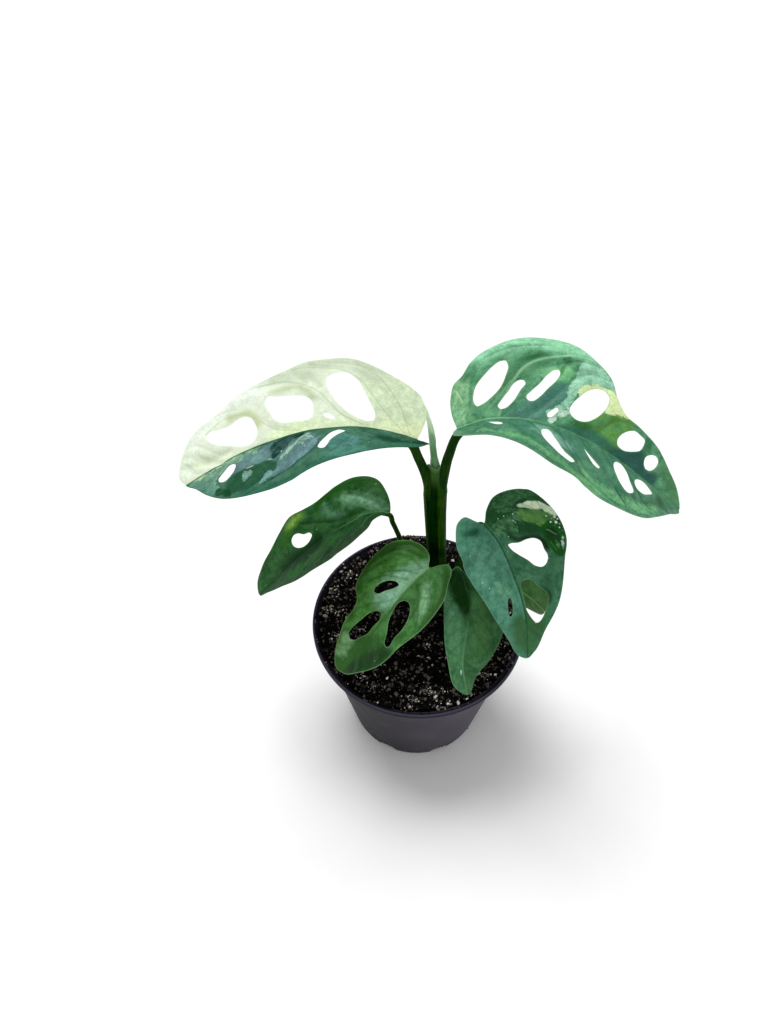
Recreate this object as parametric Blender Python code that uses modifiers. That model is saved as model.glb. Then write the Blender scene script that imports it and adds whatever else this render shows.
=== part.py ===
"""A young potted Monstera adansonii: seven pierced leaves, their petioles, soil and a round pot.

Lengths are in millimetres here and become metres when a mesh is made. +Z is up, the front of
the plant faces -Y, and the origin is the middle of the underside of the pot.

A leaf is drawn flat first: u runs along the midrib from the base, v across it, positive to the
right of someone looking from base to tip. The flat blade is then bent along its spine, folded
at the midrib, curled and waved by a formula, and given its thickness.
"""

import math
import random

import bmesh
import bpy
import numpy as np
from mathutils import Vector
from mathutils.geometry import delaunay_2d_cdt

MM = 0.001
GAP = 0.3

# Pot
POT_HEIGHT = 81.0
POT_RIM_RADIUS = 52.5
POT_BASE_RADIUS = 36.0
POT_WALL = 1.4
POT_FLOOR = 1.8
POT_LIP_HEIGHT = 2.4
POT_LIP_OVERHANG = 2.2
POT_STEP_BELOW_RIM = 10.5
POT_STEP = 1.4
POT_FOOT_ROUND = 0.6
POT_SIDES = 60
DRAIN_COUNT = 8
DRAIN_WIDTH = 9.0
DRAIN_HEIGHT = 4.0
DRAIN_DEPTH = 6.0

# Soil
SOIL_LEVEL = 78.0
SOIL_DIP = 3.0
SOIL_RING_STEP = 3.6
SOIL_HEAP_PLACE = (-9.0, 47.0)
SOIL_HEAP_SPREAD = (30.0, 15.0)
SOIL_HEAP_HEIGHT = 6.0
SOIL_FOOT_HEIGHT = 1.2
SOIL_FOOT_SPREAD = 14.0
SOIL_WAVES = ((0.7, 0.18), (0.6, 0.3), (0.5, 0.6), (0.45, 0.9), (0.4, 1.2))
SOIL_LUMPS = 48
SOIL_LUMP_RADII = (1.5, 3.0)
SOIL_LUMP_SHAPE = (1.0, 0.8, 0.65)
SOIL_SEED = 11

# Stem and petioles
STEM_FOOT = (10.0, 16.0)
STEM_BURIED = 30.0
PETIOLE_BURIED = 13.0
HOLE_CLEAR = 0.75
TUBE_STEP = 4.5

# Leaves
LEAF_THICKNESS = 0.8
EDGE_STEP = 3.2
HOLE_STEP = 2.6
MESH_STEP = 6.0
EDGE_CLEAR = 2.2
WAVE_LENGTH = 23.0
WAVE_PHASES = (2.6, 0.8)
SLOT_FULLNESS = 0.85

# Each section of the stem: height, middle x, middle y, half width, half depth.
STEM_SECTIONS = [
    (SOIL_LEVEL - STEM_BURIED, 10.6, 16.0, 3.6, 3.4),
    (72.0, 10.0, 16.0, 4.3, 3.9),
    (90.0, 9.2, 15.6, 4.4, 4.0),
    (110.0, 8.2, 15.0, 4.5, 4.0),
    (128.0, 7.0, 15.0, 4.7, 4.0),
    (146.0, 6.0, 15.0, 4.9, 4.0),
    (158.0, 5.5, 15.0, 5.2, 4.0),
    (166.0, 5.1, 15.3, 5.2, 4.0),
    (170.0, 4.9, 15.7, 4.2, 3.8),
    (172.5, 4.7, 16.1, 3.0, 3.2),
]

# A fold of a half blade rises from the midrib, in degrees, at stations from base to tip; a curl
# is the droop of a half, in degrees for each 10 mm out from the midrib. A hole is either a
# closed smooth outline or a slot: middle u, middle v, length, width, angle in degrees.
LEAVES = {
    "leaf_upper_left": {
        "colour": (0.62, 0.72, 0.42),
        "spine": [(-2, 15, 190.5), (-22, 13, 198.5), (-44, 9.5, 199.5), (-72.5, 5, 190), (-97, 0, 175)],
        "left_fold": (40, 28, 8, 5, 5),
        "right_fold": (28, 28),
        "curl": (5, 4),
        "wave": 0.5,
        "outline": [
            (0.5, 0), (-0.6, 3.8), (-1.7, 8), (-1.6, 13), (1, 18.5), (7, 22), (17, 26), (28, 30), (42, 30.5),
            (50, 28), (60, 27), (70, 24.5), (80.5, 21), (91, 19), (98.5, 15), (104, 9), (106, 4.5),
            (104, 0), (98, -6), (92.5, -12.5), (84, -19.5), (75, -23), (62, -26), (50, -24.3),
            (35, -23), (22, -23.5), (13, -20), (4, -15.5), (0, -10.5), (-2.6, -5.5), (-2, -2),
        ],
        "hole_outlines": [
            [(36.8, 20.1), (35.7, 22.7), (32.6, 23.8), (29.1, 23.5), (26.4, 21), (22.2, 12.5),
             (20.3, 8.5), (19.4, 5.7), (19.9, 3.6), (21.4, 2.9), (24.7, 3.4), (28.9, 5.7), (32.5, 9.5),
             (35.1, 14.1)],
            [(60.3, 17.8), (59.3, 18.9), (55.3, 17.6), (48.9, 16), (45.2, 14.8), (42.9, 12.4),
             (42.5, 8.8), (43.5, 5.6), (45.4, 4.8), (49.1, 5.2), (55.2, 6.1), (57.6, 8), (59.1, 11.5)],
            [(72.3, 14.3), (69.7, 14.2), (67.7, 12.9), (65.9, 8.4), (65.8, 6.1), (67.2, 3.6),
             (70, 2.2), (72.7, 2.5), (78.3, 5), (83.9, 8.3), (87, 11.9), (87.7, 14.3), (85.6, 15.1),
             (81.3, 14), (76.4, 13.3)],
            [(39.1, 6.1), (38.3, 6.6), (36.8, 6.3), (34.9, 3.7), (36.5, 4), (38.1, 4.9)],
            [(31.2, -3.5), (33.3, -2.1), (36, -3.2), (39.1, -6.9), (41.3, -10.3), (42, -12.5),
             (41.3, -13.7), (39.7, -14.3), (38.5, -12.8), (37.1, -9.7), (34.5, -6.8)],
            [(77.1, -5.6), (78.1, -4.4), (80.2, -4), (83.2, -6.1), (85.8, -8.5), (85.4, -9.9),
             (82.5, -11.5), (80.1, -10.5), (77.6, -7.9)],
        ],
        "slots": [],
    },
    "leaf_upper_right": {
        "colour": (0.14, 0.35, 0.18),
        "spine": [
            (12.5, 15, 197.5), (26, 14, 204.5), (40.5, 12, 206), (56, 9.5, 202.5), (73.5, 6, 193.5),
            (92, 2, 180), (103.5, 0, 170),
        ],
        "left_fold": (38, 38),
        "right_fold": (36, 24, 8, 5, 5),
        "curl": (4, 2),
        "wave": 0.5,
        "outline": [
            (0, 0), (-1, -6), (-0.5, -12), (2.5, -17.8), (6.5, -20), (10.5, -24.8), (18, -30),
            (27, -33.3), (35, -33.7), (44, -30.8), (52.5, -26.2), (57, -20.5), (62, -16.8),
            (70, -15.7), (80, -14), (90.5, -9.8), (99, -6), (105, 0), (97, 8), (89.5, 15),
            (84.5, 19.3), (78, 22.7), (70.5, 25.6), (60, 27), (48, 26.2), (37, 27), (28, 24.5),
            (18, 21), (10, 19.5), (4.5, 16.5), (1.8, 10.5), (0.6, 5),
        ],
        "hole_outlines": [
            [(9.9, -12.4), (13.9, -18.2), (15.9, -20.8), (18.1, -22.6), (19.2, -22.7), (20, -21.1),
             (19.5, -16.5), (17.8, -11.7), (15.4, -8.8), (12.6, -6.7), (9.9, -6.3), (9.2, -7.6)],
            [(23.7, -15), (25.2, -15.2), (25.9, -14.3), (24.8, -11.8), (22, -6), (20.1, -4.1),
             (18.1, -3.7), (17.3, -4.6), (18.6, -7.2), (20.6, -10.4), (22.4, -13.8)],
            [(34.4, -21.5), (35.4, -21.7), (36, -20.6), (35.6, -18.2), (33.1, -13.1), (31.3, -9.7),
             (29.2, -7.6), (27.8, -7.6), (26.9, -8.8), (28.3, -11.4), (30.5, -14.7), (32.6, -19.2)],
            [(38.2, -7.2), (38.8, -6.7), (38.1, -4.8), (36.6, -3), (35.7, -2.8), (35.3, -3.7),
             (36.6, -5.8)],
            [(42.6, -7.9), (42.9, -10.7), (44.4, -14), (46.4, -17.4), (49, -19.8), (51.7, -20.6),
             (54.1, -19.1), (54.6, -16.2), (54, -12.6), (52.2, -8.9), (49.6, -6.3), (46.7, -5.5),
             (44.1, -6.2)],
            [(64, -6.8), (64.3, -8.6), (67, -12.3), (68.5, -13.3), (71.5, -13.3), (74, -12.8),
             (74.6, -10.7), (74.3, -8.3), (72.4, -6.6), (67.3, -4.4), (65.1, -4.9)],
            [(78.4, -5.7), (77.9, -7.6), (79.5, -9.8), (82, -10.6), (83.8, -9.6), (84.1, -7.1),
             (82.6, -4.5), (80.3, -4.1)],
            [(14.2, 4.2), (15.8, 4.6), (18.7, 5.3), (19.9, 6.9), (19.1, 8.4), (17.4, 8.2), (15.6, 6.4)],
            [(33.8, 8.5), (34.3, 5.6), (36, 4.5), (39.5, 9.7), (43.1, 15.2), (47.3, 17.6),
             (46.1, 19.2), (41.7, 18.7), (37.4, 15.7), (34.7, 12.4)],
            [(51.7, 6.2), (54.2, 8.1), (57.8, 10.4), (59.3, 11.5), (58.5, 12.6), (56.7, 12.4),
             (53.9, 9.8)],
            [(65.9, 4.8), (67, 2.3), (69.4, 1.4), (72.9, 3.6), (74.5, 7), (76.7, 11.5), (75.5, 13.2),
             (73.2, 14.4), (69.7, 12.6), (66.9, 8.4)],
            [(77.1, 5.4), (78.5, 3.1), (82.4, 1.7), (85.6, 2.8), (87.1, 3.9), (84.8, 6.5), (81.6, 8.5),
             (78.4, 8)],
        ],
        "slots": [],
    },
    "leaf_side_left": {
        "colour": (0.05, 0.17, 0.06),
        "spine": [(-14.5, 18, 140.5), (-21, 18, 140.5), (-37.5, 15, 132), (-57, 10, 115.5), (-79, 4, 89.5)],
        "left_fold": (35, 20, 15, 15),
        "right_fold": (15, 15),
        "curl": (3, 3),
        "wave": 0.5,
        "outline": [
            (0, 0), (0, 4.5), (3, 12), (7.5, 18.8), (13, 21.5), (22, 21), (32, 19.5), (42, 20.5),
            (51, 21.5), (59, 19.3), (68, 14.8), (78, 11.5), (85, 6.5), (86.5, 0.5), (79, -3.5),
            (67, -9), (54, -14.3), (40, -17.7), (25, -19.5), (14.5, -20.5), (9, -17), (6.8, -9),
            (3.5, -3.5),
        ],
        "hole_outlines": [
            [(51.4, 11.6), (48.7, 11.1), (45, 8.3), (41.8, 7.1), (40.9, 5.3), (42.5, 3.8), (47.7, 3),
             (51.3, 4.6), (53.5, 7.6), (53.3, 10.4)],
        ],
        "slots": [],
    },
    "leaf_front_left": {
        "colour": (0.10, 0.28, 0.09),
        "spine": [(4, 0, 123.5), (-4.5, -8, 120), (-15.5, -20, 111.5), (-24.5, -31, 103.5), (-34, -38, 92.5)],
        "left_fold": (10, 10),
        "right_fold": (8, 8),
        "curl": (3, 3),
        "wave": 0.4,
        "outline": [
            (-0.5, 0), (-4.5, 4), (-5.8, 9), (-3.5, 16.3), (2.5, 21.5), (11, 23.2), (20, 22.2),
            (28, 19.4), (31.5, 15.5), (34.5, 14.2), (40, 14.5), (49, 13.3), (55.5, 11.8),
            (60.5, 8.3), (63.8, 3), (62.5, -1), (54, -8), (45, -13.2), (38.5, -14.4), (31, -16.7),
            (22.5, -19), (13, -19.2), (5, -17.2), (-0.5, -13.2), (-5.5, -10), (-7.3, -6.3),
            (-4.5, -2.8),
        ],
        "hole_outlines": [
            [(23.9, 11.3), (22.3, 12), (18.7, 11), (15.6, 8.4), (14.4, 5.4), (14.8, 4.1), (16.6, 4.6),
             (20.4, 7.2), (23.8, 9.6)],
            [(46.8, 9.2), (43, 9.5), (36.9, 8.1), (32, 6.4), (29.8, 4.6), (29.5, 2.5), (31, 1.4),
             (36.1, 1.7), (40.9, 2.2), (43.7, 3.8), (46.9, 5.3), (48.1, 7.5)],
            [(20.8, -1.3), (18.6, -2.8), (17.9, -5.4), (19.1, -7.7), (23.7, -10.3), (28.3, -11),
             (34.8, -10.3), (40, -9.9), (39.7, -8.5), (34.6, -5.6), (29.2, -2.7), (24.2, -1.5)],
        ],
        "slots": [],
    },
    "leaf_front_middle": {
        "colour": (0.07, 0.22, 0.08),
        "spine": [(19.5, 2, 120), (23.5, -8, 113), (23, -19, 107.5), (21, -34, 97.5), (24, -42, 84)],
        "left_fold": (12, 12),
        "right_fold": (12, 12),
        "curl": (3, 3),
        "wave": 0.3,
        "outline": [
            (0.5, -0.5), (-2.5, 1.5), (-1.5, 4.8), (2, 8.3), (7, 11.3), (14, 12.3), (24, 11.5),
            (34, 9.7), (43, 6.8), (51.5, 6), (56, 3.5), (59.5, 0), (52, -5), (42, -10.7), (34, -14),
            (26, -16), (18, -15.8), (11, -12.5), (6.5, -7), (4, -2),
        ],
        "hole_outlines": [],
        "slots": [],
    },
    "leaf_front_right": {
        "colour": (0.07, 0.24, 0.15),
        "spine": [(26, 0, 157), (32, -5, 152.5), (39, -16, 144.5), (44.5, -30, 135.5), (46.5, -43, 121.5)],
        "left_fold": (20, 20),
        "right_fold": (0, 0),
        "curl": (3, 3),
        "wave": 0.4,
        "outline": [
            (0, 0), (-3.5, 2.4), (-7.4, 5), (-7.4, 9.3), (-3.8, 14), (2.5, 18.3), (12, 19.2),
            (22, 18.2), (32.5, 15.6), (43, 12.5), (53, 7.7), (60, 3.2), (61, 0), (58, -3), (48, -8),
            (39.5, -14.8), (27, -22), (18, -26.8), (10, -28), (2, -25.3), (-3.6, -18.6),
            (-5.8, -10.5), (-3.6, -5),
        ],
        "hole_outlines": [
            [(12.8, -3.3), (12.9, -4.5), (13.9, -7.4), (14.2, -11.7), (14.9, -14.2), (16.4, -15.9),
             (20.1, -16), (22.1, -16.4), (25.1, -14.8), (25.9, -12.7), (24.8, -10.3), (21.4, -8),
             (18, -5.3), (15, -3.5)],
            [(29, -2), (28.8, -5.3), (33, -8.5), (36.2, -11), (41, -9), (45.8, -4.2), (42, -1.5),
             (34, -1.2)],
        ],
        "slots": [(37.8, 5.6, 8.2, 2, 10)],
    },
    "leaf_small_right": {
        "colour": (0.08, 0.20, 0.04),
        "spine": [(36.5, 6.5, 111), (44, 6.5, 104.5), (54, 6, 94.5), (63, 5, 83.5)],
        "left_fold": (10, 10),
        "right_fold": (10, 10),
        "curl": (3, 3),
        "wave": 0.3,
        "outline": [
            (0, 0), (-2, 3), (1, 7), (8, 9.6), (18, 9.4), (28, 7), (35, 3.6), (38.4, -1), (38.8, -6.5),
            (37.8, -11), (34.5, -13.2), (28, -13.4), (19, -13.6), (8, -11), (0.5, -7), (-1.5, -3),
        ],
        "hole_outlines": [],
        "slots": [],
    },
}

# A petiole ends under the midrib of its leaf, at distance "seat" from the base and "drop" below
# the blade. Two petioles grow out of the top of the stem and are one piece with it.
STEM_PETIOLES = {
    "leaf_upper_left": {
        "path": [(5.0, 15, 158), (1.6, 15, 171), (-1.5, 15, 180)],
        "radii": (2.4, 2.0),
        "seat": 3.0,
        "drop": 1.45,
    },
    "leaf_upper_right": {
        "path": [(6.5, 15, 158), (8.2, 15, 171), (10.2, 15, 182)],
        "radii": (2.4, 1.9),
        "seat": 0.6,
        "drop": 1.1,
    },
}

# The others stand in the soil beside the stem.
PETIOLES = {
    "petiole_side_left": {
        "leaf": "leaf_side_left",
        "path": [(2.2, 19, 65), (2.0, 19, 80), (-2.6, 19.5, 97), (-9, 19.5, 117), (-13.2, 19, 132)],
        "radii": (1.5, 1.1),
        "seat": 0.8,
        "drop": 0.6,
    },
    "petiole_front_left": {
        "leaf": "leaf_front_left",
        "path": [(6.4, 8.6, 65), (6.4, 8.3, 80), (7, 5.8, 98), (6.8, 3.4, 114)],
        "radii": (1.6, 1.3),
        "seat": 0.6,
        "drop": 0.6,
    },
    "petiole_front_middle": {
        "leaf": "leaf_front_middle",
        "path": [(13, 8.0, 65), (13.2, 7.8, 80), (15.6, 6.6, 98), (18, 4.6, 112)],
        "radii": (1.6, 1.2),
        "seat": 0.8,
        "drop": 0.32,
    },
    "petiole_front_right": {
        "leaf": "leaf_front_right",
        "path": [(17.8, 12, 65), (17.6, 12, 80), (16.8, 10.4, 98), (19.2, 6.6, 122), (23.8, 2.5, 145)],
        "radii": (2.1, 1.6),
        "seat": 0.8,
        "drop": 0.52,
    },
    "petiole_small_right": {
        "leaf": "leaf_small_right",
        "path": [(18.6, 18.6, 65), (18.9, 18.4, 80), (21.2, 16.8, 89), (26, 13, 98), (32.5, 8.5, 107)],
        "radii": (1.3, 0.9),
        "seat": 0.8,
        "drop": 0.6,
    },
}

# The rolled new leaf stands on the top of the stem and leans back under the upper left leaf.
NEW_LEAF_PATH = [
    (4.6, 17.0, 173.0), (4.6, 17.2, 174.5), (4.3, 20, 177.8), (3.7, 23, 182), (2.8, 26, 187),
    (1.8, 28.5, 191), (0.6, 31, 194.3), (-0.4, 32.8, 196.4),
]
NEW_LEAF_RADII = (1.5, 1.5, 1.6, 1.4, 1.1, 0.6)

STEM_COLOUR = (0.05, 0.12, 0.02)
NEW_LEAF_COLOUR = (0.35, 0.55, 0.28)
SOIL_COLOUR = (0.02, 0.016, 0.013)
POT_COLOUR = (0.06, 0.055, 0.065)


def clear_scene():
    for thing in list(bpy.data.objects):
        bpy.data.objects.remove(thing, do_unlink=True)


def make_collection(name, parent):
    group = bpy.data.collections.new(name)
    parent.children.link(group)
    return group


def make_material(name, colour, roughness, metallic=0.0):
    material = bpy.data.materials.new(name)
    material.use_nodes = True
    shader = material.node_tree.nodes["Principled BSDF"]
    shader.inputs["Base Color"].default_value = (*colour, 1.0)
    shader.inputs["Roughness"].default_value = roughness
    shader.inputs["Metallic"].default_value = metallic
    return material


def add_object(name, mesh, group, material=None):
    thing = bpy.data.objects.new(name, mesh)
    group.objects.link(thing)
    if material:
        mesh.materials.append(material)
    return thing


def baked_mesh(thing):
    """The evaluated mesh of an object with its modifiers, as a new mesh with welded caps."""
    view = bpy.context.evaluated_depsgraph_get()
    mesh = bpy.data.meshes.new_from_object(thing.evaluated_get(view))
    shape = bmesh.new()
    shape.from_mesh(mesh)
    bmesh.ops.remove_doubles(shape, verts=shape.verts, dist=1e-6)
    bmesh.ops.recalc_face_normals(shape, faces=shape.faces)
    shape.to_mesh(mesh)
    shape.free()
    return mesh


def smooth_points(points, step, closed=False):
    """Points about one step apart on a smooth curve through the given points."""
    knots = np.array(points, float)
    if closed:
        knots = np.vstack([knots[-1:], knots, knots[:2]])
    else:
        knots = np.vstack([2 * knots[0] - knots[1], knots, 2 * knots[-1] - knots[-2]])
    spans = np.linalg.norm(np.diff(knots, axis=0), axis=1)
    slopes = np.diff(knots, axis=0) / spans[:, None]
    ahead, behind = spans[1:, None], spans[:-1, None]
    tangents = (slopes[:-1] * ahead + slopes[1:] * behind) / (ahead + behind)
    samples = []
    for i in range(len(knots) - 3):
        start, end, span = knots[i + 1], knots[i + 2], spans[i + 1]
        leave, arrive = tangents[i] * span, tangents[i + 1] * span
        count = max(1, round(span / step))
        for k in range(count):
            t = k / count
            samples.append(
                (2 * t**3 - 3 * t**2 + 1) * start + (t**3 - 2 * t**2 + t) * leave
                + (3 * t**2 - 2 * t**3) * end + (t**3 - t**2) * arrive
            )
    if not closed:
        samples.append(knots[-2])
    return np.array(samples)


class Blade:
    """The bent middle surface of one leaf."""

    def __init__(self, leaf):
        self.leaf = leaf
        self.spine = smooth_points(leaf["spine"], 0.5)
        steps = np.linalg.norm(np.diff(self.spine, axis=0), axis=1)
        self.along = np.concatenate([[0.0], np.cumsum(steps)])
        self.length = self.along[-1]
        self.width = max(abs(v) for u, v in leaf["outline"])
        tangents = np.gradient(self.spine, self.along, axis=0)
        self.tangents = tangents / np.linalg.norm(tangents, axis=1)[:, None]

    def frame(self, u):
        """Point, direction, side and normal of the midrib at distance u from the base."""
        on = np.clip(u, 0.0, self.length)
        point = np.array([np.interp(on, self.along, self.spine[:, i]) for i in range(3)])
        direction = np.array([np.interp(on, self.along, self.tangents[:, i]) for i in range(3)])
        direction /= np.linalg.norm(direction)
        point = point + direction * (u - on)
        side = np.cross(direction, (0.0, 0.0, 1.0))
        side /= np.linalg.norm(side)
        return point, direction, side, np.cross(side, direction)

    def place(self, u, v):
        """The point of the bent blade that the flat point (u, v) becomes."""
        point, _, side, normal = self.frame(u)
        half, sign = (1, 1.0) if v > 0 else (0, -1.0)
        folds = self.leaf["right_fold" if v > 0 else "left_fold"]
        share = np.clip(u / self.length, 0.0, 1.0)
        fold = math.radians(np.interp(share, np.linspace(0.0, 1.0, len(folds)), folds))
        bend = math.radians(self.leaf["curl"][half]) / 10.0
        out = abs(v)
        across = (math.sin(fold) - math.sin(fold - bend * out)) / bend
        rise = (math.cos(fold - bend * out) - math.cos(fold)) / bend
        phase = u * 2.0 * math.pi / WAVE_LENGTH + WAVE_PHASES[half]
        rise += self.leaf["wave"] * (out / self.width) ** 2 * math.sin(phase)
        return point + side * sign * across + normal * rise


def slot_outline(slot):
    """A closed outline of a rounded slot, a little fuller than an ellipse."""
    middle_u, middle_v, length, width, angle = slot
    turn = math.radians(angle)
    count = max(8, round((length + width) / HOLE_STEP))
    points = []
    for k in range(count):
        a = 2.0 * math.pi * k / count
        along = 0.5 * length * math.copysign(abs(math.cos(a)) ** SLOT_FULLNESS, math.cos(a))
        across = 0.5 * width * math.copysign(abs(math.sin(a)) ** SLOT_FULLNESS, math.sin(a))
        points.append((
            middle_u + along * math.cos(turn) - across * math.sin(turn),
            middle_v + along * math.sin(turn) + across * math.cos(turn),
        ))
    return np.array(points)


def inside(points, loop):
    """For each point, whether it lies in the closed loop."""
    x, y = points[:, 0][:, None], points[:, 1][:, None]
    x0, y0 = loop[:, 0], loop[:, 1]
    x1, y1 = np.roll(x0, -1), np.roll(y0, -1)
    crosses = (y0 > y) != (y1 > y)
    reach = x0 + (y - y0) * (x1 - x0) / np.where(y1 == y0, 1e-9, y1 - y0)
    return (crosses & (x < reach)).sum(axis=1) % 2 == 1


def flat_blade(leaf, length):
    """Vertices and triangles of the flat blade, with its holes, its midrib and an even inner grid."""
    edge = smooth_points(leaf["outline"], EDGE_STEP, closed=True)
    holes = [smooth_points(outline, HOLE_STEP, closed=True) for outline in leaf["hole_outlines"]]
    holes += [slot_outline(slot) for slot in leaf["slots"]]
    loops = [edge] + holes
    border = np.vstack(loops)
    rib = np.array([(u, 0.0) for u in np.arange(3.0, length - 3.0, MESH_STEP * 0.8)])
    grid = []
    for row, u in enumerate(np.arange(edge[:, 0].min(), edge[:, 0].max(), MESH_STEP * 0.87)):
        for v in np.arange(edge[:, 1].min() + row % 2 * MESH_STEP / 2, edge[:, 1].max(), MESH_STEP):
            grid.append((u, v))
    grid = np.array(grid)
    spots = np.vstack([rib, grid[np.abs(grid[:, 1]) > MESH_STEP * 0.45]])
    near = np.linalg.norm(spots[:, None] - border[None], axis=2).min(axis=1) < EDGE_CLEAR
    keep = inside(spots, edge) & ~near
    for hole in holes:
        keep &= ~inside(spots, hole)
    spots = spots[keep]
    edges, first = [], 0
    for loop in loops:
        count = len(loop)
        edges += [(first + k, first + (k + 1) % count) for k in range(count)]
        first += count
    points = [Vector(p) for p in np.vstack([border, spots])]
    verts, _, faces, _, _, _ = delaunay_2d_cdt(points, edges, [], 1, 1e-4)
    verts = np.array([tuple(p) for p in verts])
    middles = np.array([verts[list(face)].mean(axis=0) for face in faces])
    solid = inside(middles, edge)
    for hole in holes:
        solid &= ~inside(middles, hole)
    return verts, [face for face, kept in zip(faces, solid) if kept]


def make_leaf(name, leaf, group):
    blade = Blade(leaf)
    verts, faces = flat_blade(leaf, blade.length)
    mesh = bpy.data.meshes.new(name)
    mesh.from_pydata([tuple(blade.place(u, v) * MM) for u, v in verts], [], faces)
    mesh.update()
    thing = add_object(name, mesh, group, make_material(name, leaf["colour"], 0.4))
    thicken = thing.modifiers.new("thickness", "SOLIDIFY")
    thicken.thickness = LEAF_THICKNESS * MM
    thicken.offset = 0.0
    mesh.shade_smooth()
    mesh.set_sharp_from_angle(angle=math.radians(50))
    return thing


def tube(name, path, radii, group):
    """A round tube with caps along a smooth path, its radius running through the given values."""
    points = smooth_points(path, TUBE_STEP)
    curve = bpy.data.curves.new(name, "CURVE")
    curve.dimensions = "3D"
    curve.bevel_depth = MM
    curve.bevel_resolution = 3
    curve.use_fill_caps = True
    spline = curve.splines.new("POLY")
    spline.points.add(len(points) - 1)
    shares = np.linspace(0.0, 1.0, len(points))
    for spot, point, share in zip(spline.points, points, shares):
        spot.co = (*(point * MM), 1.0)
        spot.radius = np.interp(share, np.linspace(0.0, 1.0, len(radii)), radii)
    thing = bpy.data.objects.new(name, curve)
    group.objects.link(thing)
    return thing


def tube_mesh_object(name, path, radii, group, material=None):
    """The same tube as a closed mesh."""
    guide = tube(name + "_guide", path, radii, group)
    mesh = baked_mesh(guide)
    mesh.name = name
    bpy.data.objects.remove(guide, do_unlink=True)
    mesh.shade_smooth()
    mesh.set_sharp_from_angle(angle=math.radians(50))
    return add_object(name, mesh, group, material)


def whole_path(leaf_name, petiole):
    """The path of a petiole with its end just under the midrib of its leaf."""
    point, _, _, normal = Blade(LEAVES[leaf_name]).frame(petiole["seat"])
    return petiole["path"] + [point - normal * (0.5 * LEAF_THICKNESS + petiole["drop"])]


def loft(name, sections, sides, group):
    """A closed solid through level elliptical sections."""
    shape = bmesh.new()
    rings = []
    for z, x, y, half_width, half_depth in sections:
        ring = []
        for k in range(sides):
            a = 2.0 * math.pi * k / sides
            spot = (x + half_width * math.cos(a), y + half_depth * math.sin(a), z)
            ring.append(shape.verts.new(Vector(spot) * MM))
        rings.append(ring)
    for low, high in zip(rings, rings[1:]):
        for k in range(sides):
            n = (k + 1) % sides
            shape.faces.new((low[k], low[n], high[n], high[k]))
    shape.faces.new(list(reversed(rings[0])))
    shape.faces.new(rings[-1])
    mesh = bpy.data.meshes.new(name)
    shape.to_mesh(mesh)
    shape.free()
    mesh.shade_smooth()
    return add_object(name, mesh, group)


def cut_or_join(thing, others, operation):
    """Applies one exact Boolean of a collection to an object, and removes the collection."""
    step = thing.modifiers.new(operation.lower(), "BOOLEAN")
    step.operation = operation
    step.operand_type = "COLLECTION"
    step.collection = others
    step.solver = "EXACT"
    bpy.context.view_layer.update()
    mesh = baked_mesh(thing)
    thing.modifiers.clear()
    thing.data = mesh
    for other in list(others.objects):
        bpy.data.objects.remove(other, do_unlink=True)
    bpy.data.collections.remove(others)


def make_stem(group, scrap):
    """The stem with the petioles of the two upper leaves, grown as one piece."""
    stem = loft("stem", STEM_SECTIONS, 18, group)
    stem.data.materials.append(make_material("stem", STEM_COLOUR, 0.35))
    branches = make_collection("stem_branches", scrap)
    for leaf_name, petiole in STEM_PETIOLES.items():
        path = whole_path(leaf_name, petiole)
        tube_mesh_object(leaf_name + "_branch", path, petiole["radii"], branches)
    cut_or_join(stem, branches, "UNION")
    stem.data.shade_smooth()
    stem.data.set_sharp_from_angle(angle=math.radians(50))
    return stem


def make_petioles(group):
    for name, petiole in PETIOLES.items():
        path = whole_path(petiole["leaf"], petiole)
        tube_mesh_object(name, path, petiole["radii"], group, make_material(name, STEM_COLOUR, 0.35))


def wall_radius(z):
    """Outer radius of the pot below its lip at height z."""
    step_z = POT_HEIGHT - POT_STEP_BELOW_RIM
    top = POT_RIM_RADIUS - POT_LIP_OVERHANG
    slope = (top - POT_STEP - POT_BASE_RADIUS) / (POT_HEIGHT - POT_LIP_HEIGHT)
    return POT_BASE_RADIUS + slope * z + (POT_STEP if z > step_z else 0.0)


def turned(name, profile, group, material):
    """A solid of revolution; its profile runs down the outer side, in millimetres."""
    mesh = bpy.data.meshes.new(name)
    points = [(x * MM, 0.0, z * MM) for x, z in profile]
    mesh.from_pydata(points, [(i, i + 1) for i in range(len(points) - 1)], [])
    thing = add_object(name, mesh, group, material)
    spin = thing.modifiers.new("turn", "SCREW")
    spin.axis = "Z"
    spin.steps = POT_SIDES
    spin.render_steps = POT_SIDES
    spin.use_merge_vertices = True
    spin.merge_threshold = 0.00001
    spin.use_smooth_shade = True
    return thing


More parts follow.
